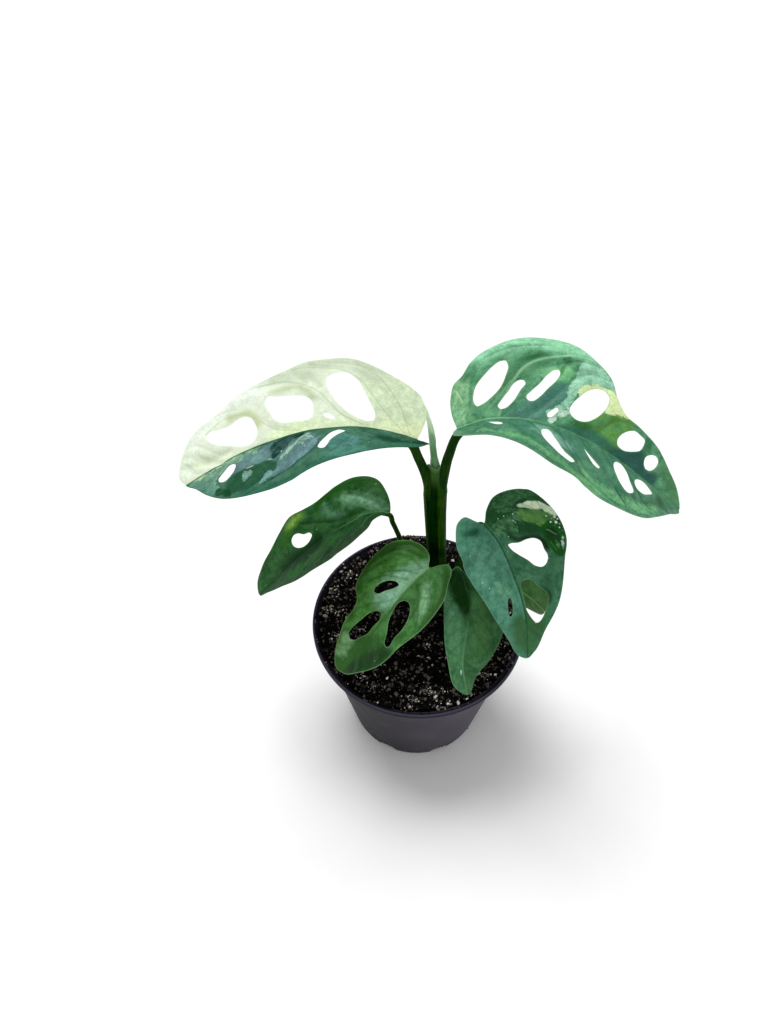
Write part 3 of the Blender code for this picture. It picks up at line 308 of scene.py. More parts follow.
# A leaf's spine is the course of its midrib in space, from base to tip. A fold of a half blade
# rises from the midrib, in degrees, at stations from base to tip; a curl is the droop of a half,
# in degrees for each 10 mm out from the midrib; "wave" is the height of the ripples at the edge.
# A hole is either a closed smooth outline or a slot: middle u, middle v, length, width and angle
# in degrees. What a leaf leaves out is as in USUAL_LEAF.
USUAL_LEAF = {"curl": (3, 3), "hole_outlines": [], "slots": []}
LEAVES = {
    "leaf_upper_left": {
        "spine": [(-2, 15, 190.5), (-22, 13, 198.5), (-44, 9.5, 199.5), (-72.5, 5, 190), (-97, 0, 175)],
        "left_fold": (40, 28, 8, 5, 5),
        "right_fold": (28, 28),
        "curl": (5, 4),
        "wave": 0.5,
        "outline": [
            (0.5, 0), (-0.6, 3.8), (-1.7, 8), (-1.6, 13), (1, 18.5), (7, 22), (17, 26), (28, 30),
            (42, 30.5), (50, 28), (60, 27), (70, 24.5), (80.5, 21), (91, 19), (98.5, 15), (104, 9),
            (106, 4.5), (104, 0), (98, -6), (92.5, -12.5), (84, -19.5), (75, -23), (62, -26),
            (50, -24.3), (35, -23), (22, -23.5), (13, -20), (4, -15.5), (0, -10.5), (-2.6, -5.5),
            (-2, -2),
        ],
        "hole_outlines": [
            [(36.8, 20.1), (35.7, 22.7), (32.6, 23.8), (29.1, 23.5), (26.4, 21), (22.2, 12.5),
             (20.3, 8.5), (19.4, 5.7), (19.9, 3.6), (21.4, 2.9), (24.7, 3.4), (28.9, 5.7), (32.5, 9.5),
             (35.1, 14.1)],
            [(60.3, 17.8), (59.3, 18.9), (55.3, 17.6), (48.9, 16), (45.2, 14.8), (42.9, 12.4),
             (42.5, 8.8), (43.5, 5.6), (45.4, 4.8), (49.1, 5.2), (55.2, 6.1), (57.6, 8), (59.1, 11.5)],
            [(72.3, 14.3), (69.7, 14.2), (67.7, 12.9), (65.9, 8.4), (65.8, 6.1), (67.2, 3.6), (70, 2.2),
             (72.7, 2.5), (78.3, 5), (83.9, 8.3), (87, 11.9), (87.7, 14.3), (85.6, 15.1), (81.3, 14),
             (76.4, 13.3)],
            [(39.1, 6.1), (38.3, 6.6), (36.8, 6.3), (34.9, 3.7), (36.5, 4), (38.1, 4.9)],
            [(31.2, -3.5), (33.3, -2.1), (36, -3.2), (39.1, -6.9), (41.3, -10.3), (42, -12.5),
             (41.3, -13.7), (39.7, -14.3), (38.5, -12.8), (37.1, -9.7), (34.5, -6.8)],
            [(77.1, -5.6), (78.1, -4.4), (80.2, -4), (83.2, -6.1), (85.8, -8.5), (85.4, -9.9),
             (82.5, -11.5), (80.1, -10.5), (77.6, -7.9)],
        ],
    },
    "leaf_upper_right": {
        "spine": [
            (12.5, 15, 197.5), (26, 14, 204.5), (40.5, 12, 206), (56, 9.5, 202.5), (73.5, 6, 193.5),
            (92, 2, 180), (103.5, 0, 170),
        ],
        "left_fold": (38, 38),
        "right_fold": (36, 24, 8, 5, 5),
        "curl": (4, 2),
        "wave": 0.5,
        "outline": [
            (0, 0), (-1, -6), (-0.5, -12), (2.5, -17.8), (6.5, -20), (10.5, -24.8), (18, -30),
            (27, -33.3), (35, -33.7), (44, -30.8), (52.5, -26.2), (57, -20.5), (62, -16.8), (70, -15.7),
            (80, -14), (90.5, -9.8), (99, -6), (105, 0), (97, 8), (89.5, 15), (84.5, 19.3), (78, 22.7),
            (70.5, 25.6), (60, 27), (48, 26.2), (37, 27), (28, 24.5), (18, 21), (10, 19.5), (4.5, 16.5),
            (1.8, 10.5), (0.6, 5),
        ],
        "hole_outlines": [
            [(9.9, -12.4), (13.9, -18.2), (15.9, -20.8), (18.1, -22.6), (19.2, -22.7), (20, -21.1),
             (19.5, -16.5), (17.8, -11.7), (15.4, -8.8), (12.6, -6.7), (9.9, -6.3), (9.2, -7.6)],
            [(23.7, -15), (25.2, -15.2), (25.9, -14.3), (24.8, -11.8), (22, -6), (20.1, -4.1),
             (18.1, -3.7), (17.3, -4.6), (18.6, -7.2), (20.6, -10.4), (22.4, -13.8)],
            [(34.4, -21.5), (35.4, -21.7), (36, -20.6), (35.6, -18.2), (33.1, -13.1), (31.3, -9.7),
             (29.2, -7.6), (27.8, -7.6), (26.9, -8.8), (28.3, -11.4), (30.5, -14.7), (32.6, -19.2)],
            [(38.2, -7.2), (38.8, -6.7), (38.1, -4.8), (36.6, -3), (35.7, -2.8), (35.3, -3.7),
             (36.6, -5.8)],
            [(42.6, -7.9), (42.9, -10.7), (44.4, -14), (46.4, -17.4), (49, -19.8), (51.7, -20.6),
             (54.1, -19.1), (54.6, -16.2), (54, -12.6), (52.2, -8.9), (49.6, -6.3), (46.7, -5.5),
             (44.1, -6.2)],
            [(64, -6.8), (64.3, -8.6), (67, -12.3), (68.5, -13.3), (71.5, -13.3), (74, -12.8),
             (74.6, -10.7), (74.3, -8.3), (72.4, -6.6), (67.3, -4.4), (65.1, -4.9)],
            [(78.4, -5.7), (77.9, -7.6), (79.5, -9.8), (82, -10.6), (83.8, -9.6), (84.1, -7.1),
             (82.6, -4.5), (80.3, -4.1)],
            [(14.2, 4.2), (15.8, 4.6), (18.7, 5.3), (19.9, 6.9), (19.1, 8.4), (17.4, 8.2), (15.6, 6.4)],
            [(33.8, 8.5), (34.3, 5.6), (36, 4.5), (39.5, 9.7), (43.1, 15.2), (47.3, 17.6), (46.1, 19.2),
             (41.7, 18.7), (37.4, 15.7), (34.7, 12.4)],
            [(51.7, 6.2), (54.2, 8.1), (57.8, 10.4), (59.3, 11.5), (58.5, 12.6), (56.7, 12.4),
             (53.9, 9.8)],
            [(65.9, 4.8), (67, 2.3), (69.4, 1.4), (72.9, 3.6), (74.5, 7), (76.7, 11.5), (75.5, 13.2),
             (73.2, 14.4), (69.7, 12.6), (66.9, 8.4)],
            [(77.1, 5.4), (78.5, 3.1), (82.4, 1.7), (85.6, 2.8), (87.1, 3.9), (84.8, 6.5), (81.6, 8.5),
             (78.4, 8)],
        ],
    },
    "leaf_side_left": {
        "spine": [
            (-14.5, 18, 140.5), (-21, 18, 140.5), (-37.5, 15, 132), (-57, 10, 115.5), (-79, 4, 89.5),
        ],
        "left_fold": (35, 20, 15, 15),
        "right_fold": (15, 15),
        "wave": 0.5,
        "outline": [
            (0, 0), (0, 4.5), (3, 12), (7.5, 18.8), (13, 21.5), (22, 21), (32, 19.5), (42, 20.5),
            (51, 21.5), (59, 19.3), (68, 14.8), (78, 11.5), (85, 6.5), (86.5, 0.5), (79, -3.5),
            (67, -9), (54, -14.3), (40, -17.7), (25, -19.5), (14.5, -20.5), (9, -17), (6.8, -9),
            (3.5, -3.5),
        ],
        "hole_outlines": [
            [(51.4, 11.6), (48.7, 11.1), (45, 8.3), (41.8, 7.1), (40.9, 5.3), (42.5, 3.8), (47.7, 3),
             (51.3, 4.6), (53.5, 7.6), (53.3, 10.4)],
        ],
    },
    "leaf_front_left": {
        "spine": [
            (4, 0, 123.5), (-4.5, -8, 120), (-15.5, -20, 111.5), (-24.5, -31, 103.5), (-34, -38, 92.5),
        ],
        "left_fold": (10, 10),
        "right_fold": (8, 8),
        "wave": 0.4,
        "outline": [
            (-0.5, 0), (-4.5, 4), (-5.8, 9), (-3.5, 16.3), (2.5, 21.5), (11, 23.2), (20, 22.2),
            (28, 19.4), (31.5, 15.5), (34.5, 14.2), (40, 14.5), (49, 13.3), (55.5, 11.8), (60.5, 8.3),
            (63.8, 3), (62.5, -1), (54, -8), (45, -13.2), (38.5, -14.4), (31, -16.7), (22.5, -19),
            (13, -19.2), (5, -17.2), (-0.5, -13.2), (-5.5, -10), (-7.3, -6.3), (-4.5, -2.8),
        ],
        "hole_outlines": [
            [(23.9, 11.3), (22.3, 12), (18.7, 11), (15.6, 8.4), (14.4, 5.4), (14.8, 4.1), (16.6, 4.6),
             (20.4, 7.2), (23.8, 9.6)],
            [(46.8, 9.2), (43, 9.5), (36.9, 8.1), (32, 6.4), (29.8, 4.6), (29.5, 2.5), (31, 1.4),
             (36.1, 1.7), (40.9, 2.2), (43.7, 3.8), (46.9, 5.3), (48.1, 7.5)],
            [(20.8, -1.3), (18.6, -2.8), (17.9, -5.4), (19.1, -7.7), (23.7, -10.3), (28.3, -11),
             (34.8, -10.3), (40, -9.9), (39.7, -8.5), (34.6, -5.6), (29.2, -2.7), (24.2, -1.5)],
        ],
    },
    "leaf_front_middle": {
        "spine": [(19.5, 2, 120), (23.5, -8, 113), (23, -19, 107.5), (21, -34, 97.5), (24, -42, 84)],
        "left_fold": (12, 12),
        "right_fold": (12, 12),
        "wave": 0.3,
        "outline": [
            (0.5, -0.5), (-2.5, 1.5), (-1.5, 4.8), (2, 8.3), (7, 11.3), (14, 12.3), (24, 11.5),
            (34, 9.7), (43, 6.8), (51.5, 6), (56, 3.5), (59.5, 0), (52, -5), (42, -10.7), (34, -14),
            (26, -16), (18, -15.8), (11, -12.5), (6.5, -7), (4, -2),
        ],
    },
    "leaf_front_right": {
        "spine": [
            (26, 0, 157), (32, -5, 152.5), (39, -16, 144.5), (44.5, -30, 135.5), (46.5, -43, 121.5),
        ],
        "left_fold": (20, 20),
        "right_fold": (0, 0),
        "wave": 0.4,
        "outline": [
            (0, 0), (-3.5, 2.4), (-7.4, 5), (-7.4, 9.3), (-3.8, 14), (2.5, 18.3), (12, 19.2),
            (22, 18.2), (32.5, 15.6), (43, 12.5), (53, 7.7), (60, 3.2), (61, 0), (58, -3), (48, -8),
            (39.5, -14.8), (27, -22), (18, -26.8), (10, -28), (2, -25.3), (-3.6, -18.6), (-5.8, -10.5),
            (-3.6, -5),
        ],
        "hole_outlines": [
            [(12.8, -3.3), (12.9, -4.5), (13.9, -7.4), (14.2, -11.7), (14.9, -14.2), (16.4, -15.9),
             (20.1, -16), (22.1, -16.4), (25.1, -14.8), (25.9, -12.7), (24.8, -10.3), (21.4, -8),
             (18, -5.3), (15, -3.5)],
            [(29, -2), (28.8, -5.3), (33, -8.5), (36.2, -11), (41, -9), (45.8, -4.2), (42, -1.5),
             (34, -1.2)],
        ],
        "slots": [(37.8, 5.6, 8.2, 2, 10)],
    },
    "leaf_small_right": {
        "spine": [(36.5, 6.5, 111), (44, 6.5, 104.5), (54, 6, 94.5), (63, 5, 83.5)],
        "left_fold": (10, 10),
        "right_fold": (10, 10),
        "wave": 0.3,
        "outline": [
            (0, 0), (-2, 3), (1, 7), (8, 9.6), (18, 9.4), (28, 7), (35, 3.6), (38.4, -1), (38.8, -6.5),
            (37.8, -11), (34.5, -13.2), (28, -13.4), (19, -13.6), (8, -11), (0.5, -7), (-1.5, -3),
        ],
    },
}

# A petiole ends under the midrib of its leaf, at the distance "seat" from the leaf's base. The two
# upper ones grow out of the top of the stem and are one piece with it.
UPPER_PETIOLES = {
    "petiole_upper_left": {
        "leaf": "leaf_upper_left",
        "path": [(4.6, 16.4, 146.0), (3.0, 14.4, 160.0), (1.2, 13.6, 171.0), (-1.9, 14.3, 180.0)],
        "radii": (2.4, 1.8),
        "seat": 4.6,
    },
    "petiole_upper_right": {
        "leaf": "leaf_upper_right",
        "path": [(7.0, 16.4, 146.0), (7.7, 14.7, 160.0), (8.7, 14.2, 172.0), (10.2, 15.0, 182.0)],
        "radii": (2.9, 1.65),
        "seat": 2.6,
    },
}

# The others stand in the soil beside the stem.
PETIOLES = {
    "petiole_side_left": {
        "leaf": "leaf_side_left",
        "path": [(2.2, 19, 65), (2.0, 19, 80), (-2.6, 19.5, 97), (-9, 19.5, 117), (-13.2, 19, 132)],
        "radii": (1.5, 1.1),
        "seat": 0.8,
    },
    "petiole_front_left": {
        "leaf": "leaf_front_left",
        "path": [(6.4, 8.6, 65), (6.4, 8.3, 80), (7, 5.8, 98), (6.8, 3.4, 114)],
        "radii": (1.6, 1.3),
        "seat": 0.6,
    },
    "petiole_front_middle": {
        "leaf": "leaf_front_middle",
        "path": [(13, 8.0, 65), (13.2, 7.8, 80), (15.6, 6.6, 98), (18, 4.6, 112)],
        "radii": (1.6, 1.2),
        "seat": 0.8,
    },
    "petiole_front_right": {
        "leaf": "leaf_front_right",
        "path": [(17.8, 12, 65), (17.6, 12, 80), (16.8, 10.4, 98), (19.2, 6.6, 122), (23.8, 2.5, 145)],
        "radii": (2.1, 1.6),
        "seat": 0.8,
    },
    "petiole_small_right": {
        "leaf": "leaf_small_right",
        "path": [(18.6, 18.6, 65), (18.9, 18.4, 80), (21.2, 16.8, 89), (26, 13, 98), (32.5, 8.5, 107)],
        "radii": (1.3, 0.9),
        "seat": 0.8,
    },
}

# Colours are given as the photograph shows them, red, green and blue from 0 to 255. "left" and
# "right" are the darker and the lighter colour of each half of a blade, seen from its base, and
# "vein", "under" and "rim" give the colour of each half too; "midrib" goes from base to tip.
# "lean" is how steeply the side veins of each half run forward, "quilt" how far the blade bulges
# between them, "veined" how strongly they show, "rib" half the width of the midrib, "gloss" how
# much the leaf mirrors, "specks" how many small pale flecks there are, and "slot" names a finish
# that the script leaves unused. What a leaf leaves out is as in USUAL_LOOKS.
USUAL_LOOKS = {"slot": "leaf_green", "gloss": 0.22, "veined": 0.4, "rib": 0.6}
LOOKS = {
    "leaf_upper_left": {
        "slot": "leaf_half_cream",
        "left": ((58, 96, 76), (82, 124, 102)),
        "right": ((214, 226, 202), (230, 241, 220)),
        "vein": ((28, 70, 58), (190, 204, 168)),
        "midrib": ((42, 90, 48), (54, 100, 62)),
        "under": ((70, 110, 64), (214, 220, 184)),
        "rib": 0.3,
        "gloss": 0.0,
        "rim": ((54, 94, 72), (232, 242, 220)),
        "lean": (0.8, 0.84),
        "quilt": 0.55,
        "specks": 0.8,
    },
    "leaf_upper_right": {
        "slot": "leaf_marbled",
        "left": ((58, 116, 80), (108, 172, 128)),
        "right": ((54, 106, 80), (92, 148, 112)),
        "vein": ((52, 108, 78), (38, 88, 62)),
        "midrib": ((146, 190, 140), (84, 132, 96)),
        "rib": 0.4,
        "under": ((126, 162, 122), (120, 158, 116)),
        "rim": ((150, 196, 146), (130, 178, 130)),
        "lean": (0.45, 0.75),
        "quilt": 0.8,
        "specks": 0.25,
    },
    "leaf_side_left": {
        "left": ((22, 58, 36), (46, 86, 48)),
        "right": ((30, 68, 34), (58, 100, 58)),
        "vein": ((20, 52, 26), (22, 56, 26)),
        "midrib": ((88, 132, 88), (22, 56, 34)),
        "under": ((104, 144, 94), (104, 144, 94)),
        "rim": ((70, 110, 60), (80, 120, 60)),
        "veined": 0.15,
        "gloss": 0.08,
        "lean": (0.8, 0.8),
        "quilt": 0.2,
        "specks": 0.4,
    },
    "leaf_front_left": {
        "left": ((48, 98, 38), (92, 156, 86)),
        "right": ((52, 106, 32), (96, 160, 82)),
        "vein": ((48, 92, 40), (50, 96, 40)),
        "midrib": ((112, 164, 104), (48, 90, 40)),
        "under": ((124, 164, 104), (124, 164, 104)),
        "rim": ((150, 190, 140), (140, 180, 110)),
        "gloss": 0.25,
        "veined": 0.6,
        "lean": (0.8, 0.8),
        "quilt": 1.0,
        "specks": 0.3,
    },
    "leaf_front_middle": {
        "left": ((50, 92, 58), (80, 128, 84)),
        "right": ((54, 98, 60), (90, 144, 98)),
        "vein": ((36, 78, 40), (36, 78, 40)),
        "midrib": ((24, 66, 20), (92, 138, 92)),
        "under": ((110, 150, 92), (110, 150, 92)),
        "gloss": 0.12,
        "rim": ((110, 150, 100), (130, 170, 130)),
        "lean": (0.9, 0.9),
        "quilt": 0.45,
        "specks": 0.3,
    },
    "leaf_front_right": {
        "slot": "leaf_marbled",
        "left": ((48, 100, 70), (84, 138, 104)),
        "right": ((62, 116, 92), (100, 160, 134)),
        "vein": ((36, 82, 58), (42, 90, 70)),
        "midrib": ((32, 80, 48), (34, 84, 52)),
        "under": ((112, 152, 118), (112, 152, 118)),
        "rim": ((110, 150, 110), (120, 160, 130)),
        "lean": (0.6, 0.8),
        "quilt": 0.5,
        "rib": 0.4,
        "specks": 0.9,
    },
    "leaf_small_right": {
        "left": ((38, 80, 34), (58, 98, 50)),
        "right": ((36, 76, 30), (56, 94, 44)),
        "vein": ((74, 112, 60), (74, 112, 60)),
        "midrib": ((92, 128, 82), (92, 128, 82)),
        "under": ((112, 146, 84), (112, 146, 84)),
        "rim": ((110, 140, 90), (110, 140, 90)),
        "lean": (0.8, 0.8),
        "gloss": 0.08,
        "quilt": 0.5,
        "specks": 0.2,
    },
}

# Patches on the top of each leaf, laid one over the other: a colour, how soft and how ragged its
# edge is in millimetres, how far it breaks into streaks, and its flat outline
# Some patches are painted shade, painted sheen and painted highlights, marked where they stand
PATCHES = {
    "leaf_upper_left": [
        ((219, 237, 192), 8.0, 0.5, 0.0, [(-4, 0), (12, 0.5), (30, 1), (62, 1), (60, 3), (34, 3.5),
         (14, 6), (4, 9), (-2, 9)]),
        ((196, 210, 184), 7.0, 0.5, 0.2, [(2, 14), (12, 17.5), (30, 26), (56, 23.5), (68, 27), (60, 33),
         (20, 35), (-2, 26)]),
        ((232, 244, 224), 6.0, 0.4, 0.0, [(96, 13), (102, 9), (106, 4), (102, 2), (96, 6), (92, 12)]),
        ((198, 212, 182), 5.0, 0.5, 0.3, [(24, 23), (18, 20), (11, 14), (6, 8), (9, 7), (15, 12),
         (21, 17), (26, 21)]),
        # Painted highlight: a whitish sheen towards the outer margin of the cream half
        ((240, 250, 238), 8.0, 0.5, 0.0, [(60, 25), (72, 23.5), (82, 22), (92, 18), (97, 13), (92, 14),
         (82, 17.5), (70, 19.5), (60, 21)]),
        # Painted shade on the outer side of the hole at u 42 to 60
        ((186, 198, 164), 3.5, 0.5, 0.0, [(58, 20.6), (53, 21), (47, 20.5), (43, 18), (41, 13),
         (43, 12.3), (45, 16), (48, 18.6), (54, 18.6)]),
        # Painted shade on the outer side of the hole at u 64 to 88
        ((188, 200, 158), 3.5, 0.5, 0.0, [(77, 17.5), (72, 17), (67, 16), (64, 12), (63.6, 7.5),
         (65.5, 7.5), (67, 12), (72, 14.6), (76.5, 15.2)]),
        # Painted light, lifting the base of the cream half
        ((214, 231, 196), 9.0, 0.2, 0.0, [(-4, 8), (6, 6), (18, 4), (24, 12), (14, 24), (2, 26),
         (-4, 16)]),
        ((240, 252, 202), 8.0, 0.3, 0.0, [(-1, 0.5), (12, 0.8), (18, 2), (12, 3.6), (6, 5), (1, 7),
         (-2, 4)]),
        ((44, 78, 60), 3.0, 0.5, 0.0, [(-12, -0.5), (4, -0.5), (12, -3), (20, -8), (20, -14), (0, -12),
         (-12, -9)]),
        ((44, 74, 44), 1.5, 0.3, 0.0, [(-12, 0.8), (-0.6, 0.8), (1.5, -0.6), (3, -3), (1, -12),
         (-12, -12)]),
        ((72, 108, 88), 3.0, 0.5, 0.4, [(2, -2), (10, -3), (18, -6), (14, -9), (6, -7), (2, -5)]),
        ((64, 108, 88), 2.0, 0.5, 0.0, [(5, -13), (13, -18), (22, -21), (38, -21), (52, -22.5),
         (62, -24), (75, -21.5), (76, -25), (50, -27), (20, -26), (4, -18)]),
        # The blue-green patches of this half are marbling, partly lightened as painted sheen
        ((84, 134, 122), 4.0, 0.5, 0.4, [(41, -17.5), (34.5, -17), (27.5, -19), (24.5, -23),
         (31.5, -23), (38, -20)]),
        ((84, 130, 122), 3.0, 0.5, 0.4, [(36, -7), (32.5, -6.5), (26.5, -11), (29, -18), (34, -17),
         (38.5, -14)]),
        ((92, 122, 120), 0.7, 0.35, 0.0, [(84, -4), (76.5, -2), (66.5, -1), (61, -0.5), (49, -0.5),
         (44, -2), (41, -7), (41.5, -10), (45.5, -14), (49.5, -16), (54, -18), (57.5, -19.5),
         (60.5, -20), (65.5, -21), (62.5, -18.5), (59, -16.5), (58, -13), (62.5, -11), (74, -10),
         (78, -10.5)]),
        ((110, 142, 146), 2.0, 0.6, 0.5, [(41.5, -8), (42.5, -11), (45.5, -14), (49.5, -16),
         (55.5, -18), (60.5, -19.5), (59, -17.5), (53.5, -14), (48.5, -10.5), (45.5, -6.5), (43, -4)]),
        ((110, 144, 142), 2.5, 0.6, 0.5, [(75, -3), (66, -3), (62, -6), (63.5, -10), (70, -9.5),
         (76, -8)]),
        ((38, 62, 56), 0.5, 0.7, 0.4, [(61.5, -3.5), (59.5, -1.6), (56, -0.5), (47, -0.6), (47, -2),
         (52, -3.4), (55, -7.5), (58, -10), (60.5, -10.5), (61, -7.5)]),
        ((150, 186, 166), 0.5, 0.8, 0.8, [(57.5, -12), (53.5, -10), (48.5, -8), (44, -4), (45, -2.4),
         (50, -3.6), (55, -7), (57.5, -9.5)]),
        ((138, 178, 142), 0.7, 0.8, 0.6, [(82.5, -0.5), (76.5, -0.5), (70.5, -0.6), (66, -0.8),
         (66.5, -2.2), (72.5, -2.8), (76.5, -5), (78.5, -4.5)]),
        ((54, 92, 69), 0.9, 0.4, 0.0, [(74, -10), (70, -10.5), (62.5, -11), (59, -13), (58.5, -17),
         (62.5, -18.5), (65.5, -20), (70.5, -21), (78.5, -19), (82.5, -16.5), (81.5, -13),
         (78, -10.5)]),
        ((126, 166, 152), 0.5, 0.6, 0.3, [(72.5, -12), (69, -12.6), (70.5, -15), (73.5, -16.5)]),
        ((118, 156, 152), 0.6, 0.6, 0.3, [(65.5, -21), (62, -20.5), (60, -17.5), (62.5, -16),
         (64, -18)]),
        ((118, 156, 134), 0.8, 0.9, 0.4, [(101.5, -0.8), (93.5, -0.8), (82, -1.5), (77, -5), (81.5, -6),
         (87.5, -9), (85, -13.5), (89.5, -13.5), (95, -9)]),
        ((96, 140, 122), 2.0, 0.6, 0.2, [(103, -1), (96, -3), (90, -8), (86, -13), (84, -17),
         (90, -14.5), (98, -6)]),
        ((40, 76, 50), 0.8, 0.8, 0.3, [(80, -20.5), (84, -17.6), (88, -15.4), (87, -13.6), (83, -15),
         (79.5, -18.4)]),
        ((170, 196, 160), 0.4, 0.8, 0.7, [(76, -0.8), (88, -1.6), (100, -0.9), (101, -0.5),
         (88, -0.3)]),
    ],
    "leaf_upper_right": [
        ((158, 228, 182), 5.0, 0.4, 0.2, [(8, -26), (16, -32), (30, -36), (44, -33), (52, -28),
         (40, -28), (28, -29.5), (18, -27), (12, -23)]),
        ((76, 126, 112), 4.0, 0.3, 0.2, [(20, -1), (24, -5), (30, -10), (34, -15), (38, -20), (42, -17),
         (41, -10), (37, -4), (33, -1)]),
        ((142, 196, 146), 4.0, 0.5, 0.4, [(2.5, -19), (7, -19), (9, -14), (8, -8), (6, -2.5), (0, -1.5),
         (-1, -10)]),
        ((46, 104, 52), 2.0, 0.8, 0.0, [(23, -22.5), (26, -25.6), (29, -27), (32, -27.2), (30, -25.8),
         (26, -23.4)]),
        ((116, 186, 128), 3.0, 0.5, 0.2, [(29, -20), (33, -22.5), (38, -24.5), (41, -23), (40, -19),
         (35, -17)]),
        ((60, 116, 72), 5.0, 0.4, 0.3, [(16, -12), (21, -19), (26, -24), (31, -24), (27, -19),
         (21, -11)]),
        ((158, 214, 182), 0.7, 0.7, 0.2, [(41, -25), (43.5, -28.5), (46.5, -28.5), (50, -27), (54, -25),
         (55.5, -22), (52, -21.5), (48.5, -21), (44, -16.5), (42, -9), (40, -5.5), (36, -2.5),
         (35, -3.5), (40, -11), (40, -17), (41, -21.5)]),
        ((228, 247, 184), 0.5, 0.5, 0.0, [(43.5, -16.5), (48.5, -21.3), (52, -21.8), (56, -22),
         (59.5, -19), (64.5, -16), (63, -14.6), (59.5, -14.2), (56.5, -13.2), (54.5, -13), (53.5, -17),
         (49, -19.5), (44.5, -14)]),
        ((206, 232, 214), 0.5, 0.8, 0.3, [(35.5, -2), (39, -5), (42, -9), (43, -6.5), (39.5, -3.5),
         (36.5, -1)]),
        ((93, 145, 60), 1.2, 1.5, 0.55, [(44.5, -4), (51, -8), (55, -12), (65, -15.5), (68, -15),
         (64, -7), (66, -3.5), (60, -3), (55.5, -4), (48.5, -4)]),
        ((45, 88, 82), 3.0, 0.8, 0.1, [(64, -2.5), (70, -6), (74, -9), (78, -8), (80, -4), (87, -5),
         (88, -1), (78, 3), (68, 5), (60, 5)]),
        ((54, 104, 86), 3.0, 0.5, 0.2, [(40, -0.5), (50, -4), (60, -4.5), (66, -2), (60, -0.5)]),
        ((56, 108, 58), 2.0, 0.6, 0.3, [(44, -3.5), (50, -6.5), (54, -5), (50, -3)]),
        ((54, 100, 62), 3.5, 0.4, 0.2, [(92, 2), (95, 5), (90, 10), (82, 16), (74, 20), (82, 13),
         (88, 7)]),
        ((86, 139, 94), 4.0, 0.4, 0.2, [(82, -13), (92, -10), (102, -2), (98, 7), (92, 7), (96, -2),
         (88, -7)]),
        ((105, 170, 115), 2.5, 0.5, 0.3, [(10, 14), (25, 18.5), (36, 23), (50, 26), (60, 28), (62, 24),
         (48, 22.5), (36, 19.5), (24, 15.5)]),
        ((110, 174, 122), 2.5, 0.5, 0.5, [(50, 18), (62, 20), (76, 16), (90, 10), (84, 17), (70, 23),
         (56, 24)]),
        ((70, 122, 98), 5.0, 0.3, 0.2, [(14, 1), (30, 2), (48, 2), (64, 3), (82, 2), (72, 6), (60, 9),
         (48, 14), (32, 14), (18, 6)]),
        ((116, 162, 144), 4.0, 0.5, 0.2, [(34, 3), (40, 5), (47, 9), (46, 12.5), (38, 11.5), (30, 7)]),
    ],
    "leaf_side_left": [
        ((116, 158, 66), 5.0, 0.2, 0.0, [(55, 15), (53.5, 18.4), (50, 19.8), (46, 19.8), (42, 18.4),
         (46, 16.8), (50, 15.8)]),
        ((46, 88, 30), 5.0, 0.2, 0.0, [(60, 12), (55, 17), (50, 14.5), (54, 11), (60, 9)]),
        ((36, 80, 8), 3.0, 0.5, 0.0, [(8, 18.5), (16, 20.5), (25, 20), (35, 18), (35, 16), (24, 17.5),
         (14, 18), (6, 14), (2, 8), (0, 3), (-1, 8), (3, 15)]),
        # Painted highlights: a bluish-green patch, and next a lighter one towards the base
        ((82, 126, 96), 5.0, 0.5, 0.2, [(30, 16), (27, 10), (21, 5.5), (25, 5), (29, 8), (32, 13)]),
        ((108, 156, 122), 5.0, 0.5, 0.2, [(20, 14), (13, 12.5), (7, 7.5), (1, 1.5), (6, 1.5), (12, 5.5),
         (20, 10)]),
        ((20, 52, 32), 6.0, 0.5, 0.2, [(36, 4), (44, 3), (56, 4), (66, 2), (60, -2), (48, -4),
         (38, -3)]),
        ((40, 90, 40), 5.0, 0.4, 0.2, [(14, -6), (28, -9), (44, -11), (60, -9), (60, -6), (44, -7),
         (28, -5)]),
    ],
    "leaf_front_left": [
        # Painted sheen over the lighter middle by the base
        ((158, 212, 178), 7.0, 0.3, 0.2, [(-3, 0), (2, 5), (10, 9), (20, 11), (28, 7), (24, -2),
         (10, -3), (0, -3)]),
        # Darker along the margins: painted shade
        ((42, 90, 12), 4.5, 0.3, 0.0, [(12, 25), (3, 22), (-4, 17), (-7, 8), (-5, 4), (-2, 10), (3, 16),
         (12, 21)]),
        ((50, 94, 24), 4.0, 0.3, 0.0, [(10, 25), (20, 23.5), (28, 20.5), (40, 15), (40, 12.5), (28, 17),
         (18, 20), (10, 21.5)]),
        ((48, 96, 40), 6.0, 0.4, 0.1, [(42, -16), (56, -13), (66, -6), (68, 4), (60, 12), (46, 12),
         (40, 2), (39, -6)]),
        ((26, 66, 22), 5.0, 0.5, 0.0, [(40, -13), (48, -12), (56, -8), (64, -2), (68, 5), (62, 6),
         (55, 0), (46, -4), (41, -8)]),
        ((112, 158, 108), 3.0, 0.6, 0.3, [(46, 10), (54, 11), (60, 8), (58, 4), (52, 5), (46, 7)]),
        # Painted sheen on the other half by the base
        ((142, 196, 146), 4.0, 0.4, 0.4, [(4, -5), (9, -11), (15, -15), (22, -15), (14, -9), (8, -5)]),
        ((52, 96, 40), 5.0, 0.3, 0.0, [(-6, -6), (-2, -14), (6, -19), (18, -20), (26, -18), (16, -17),
         (6, -15), (0, -10)]),
    ],
    "leaf_front_middle": [
        # Painted shade: the dark top of this half near the base
        ((10, 56, 0), 4.0, 0.3, 0.0, [(-3, 7.5), (6, 9), (13, 8.5), (19, 5), (22, 2), (21, 0.2),
         (8, 0.2), (0, 0.2)]),
        ((22, 62, 18), 4.0, 0.3, 0.0, [(-3, -0.2), (10, -0.2), (10, -1.6), (4, -3), (-2, -3)]),
        # Painted sheen on the same half, further out
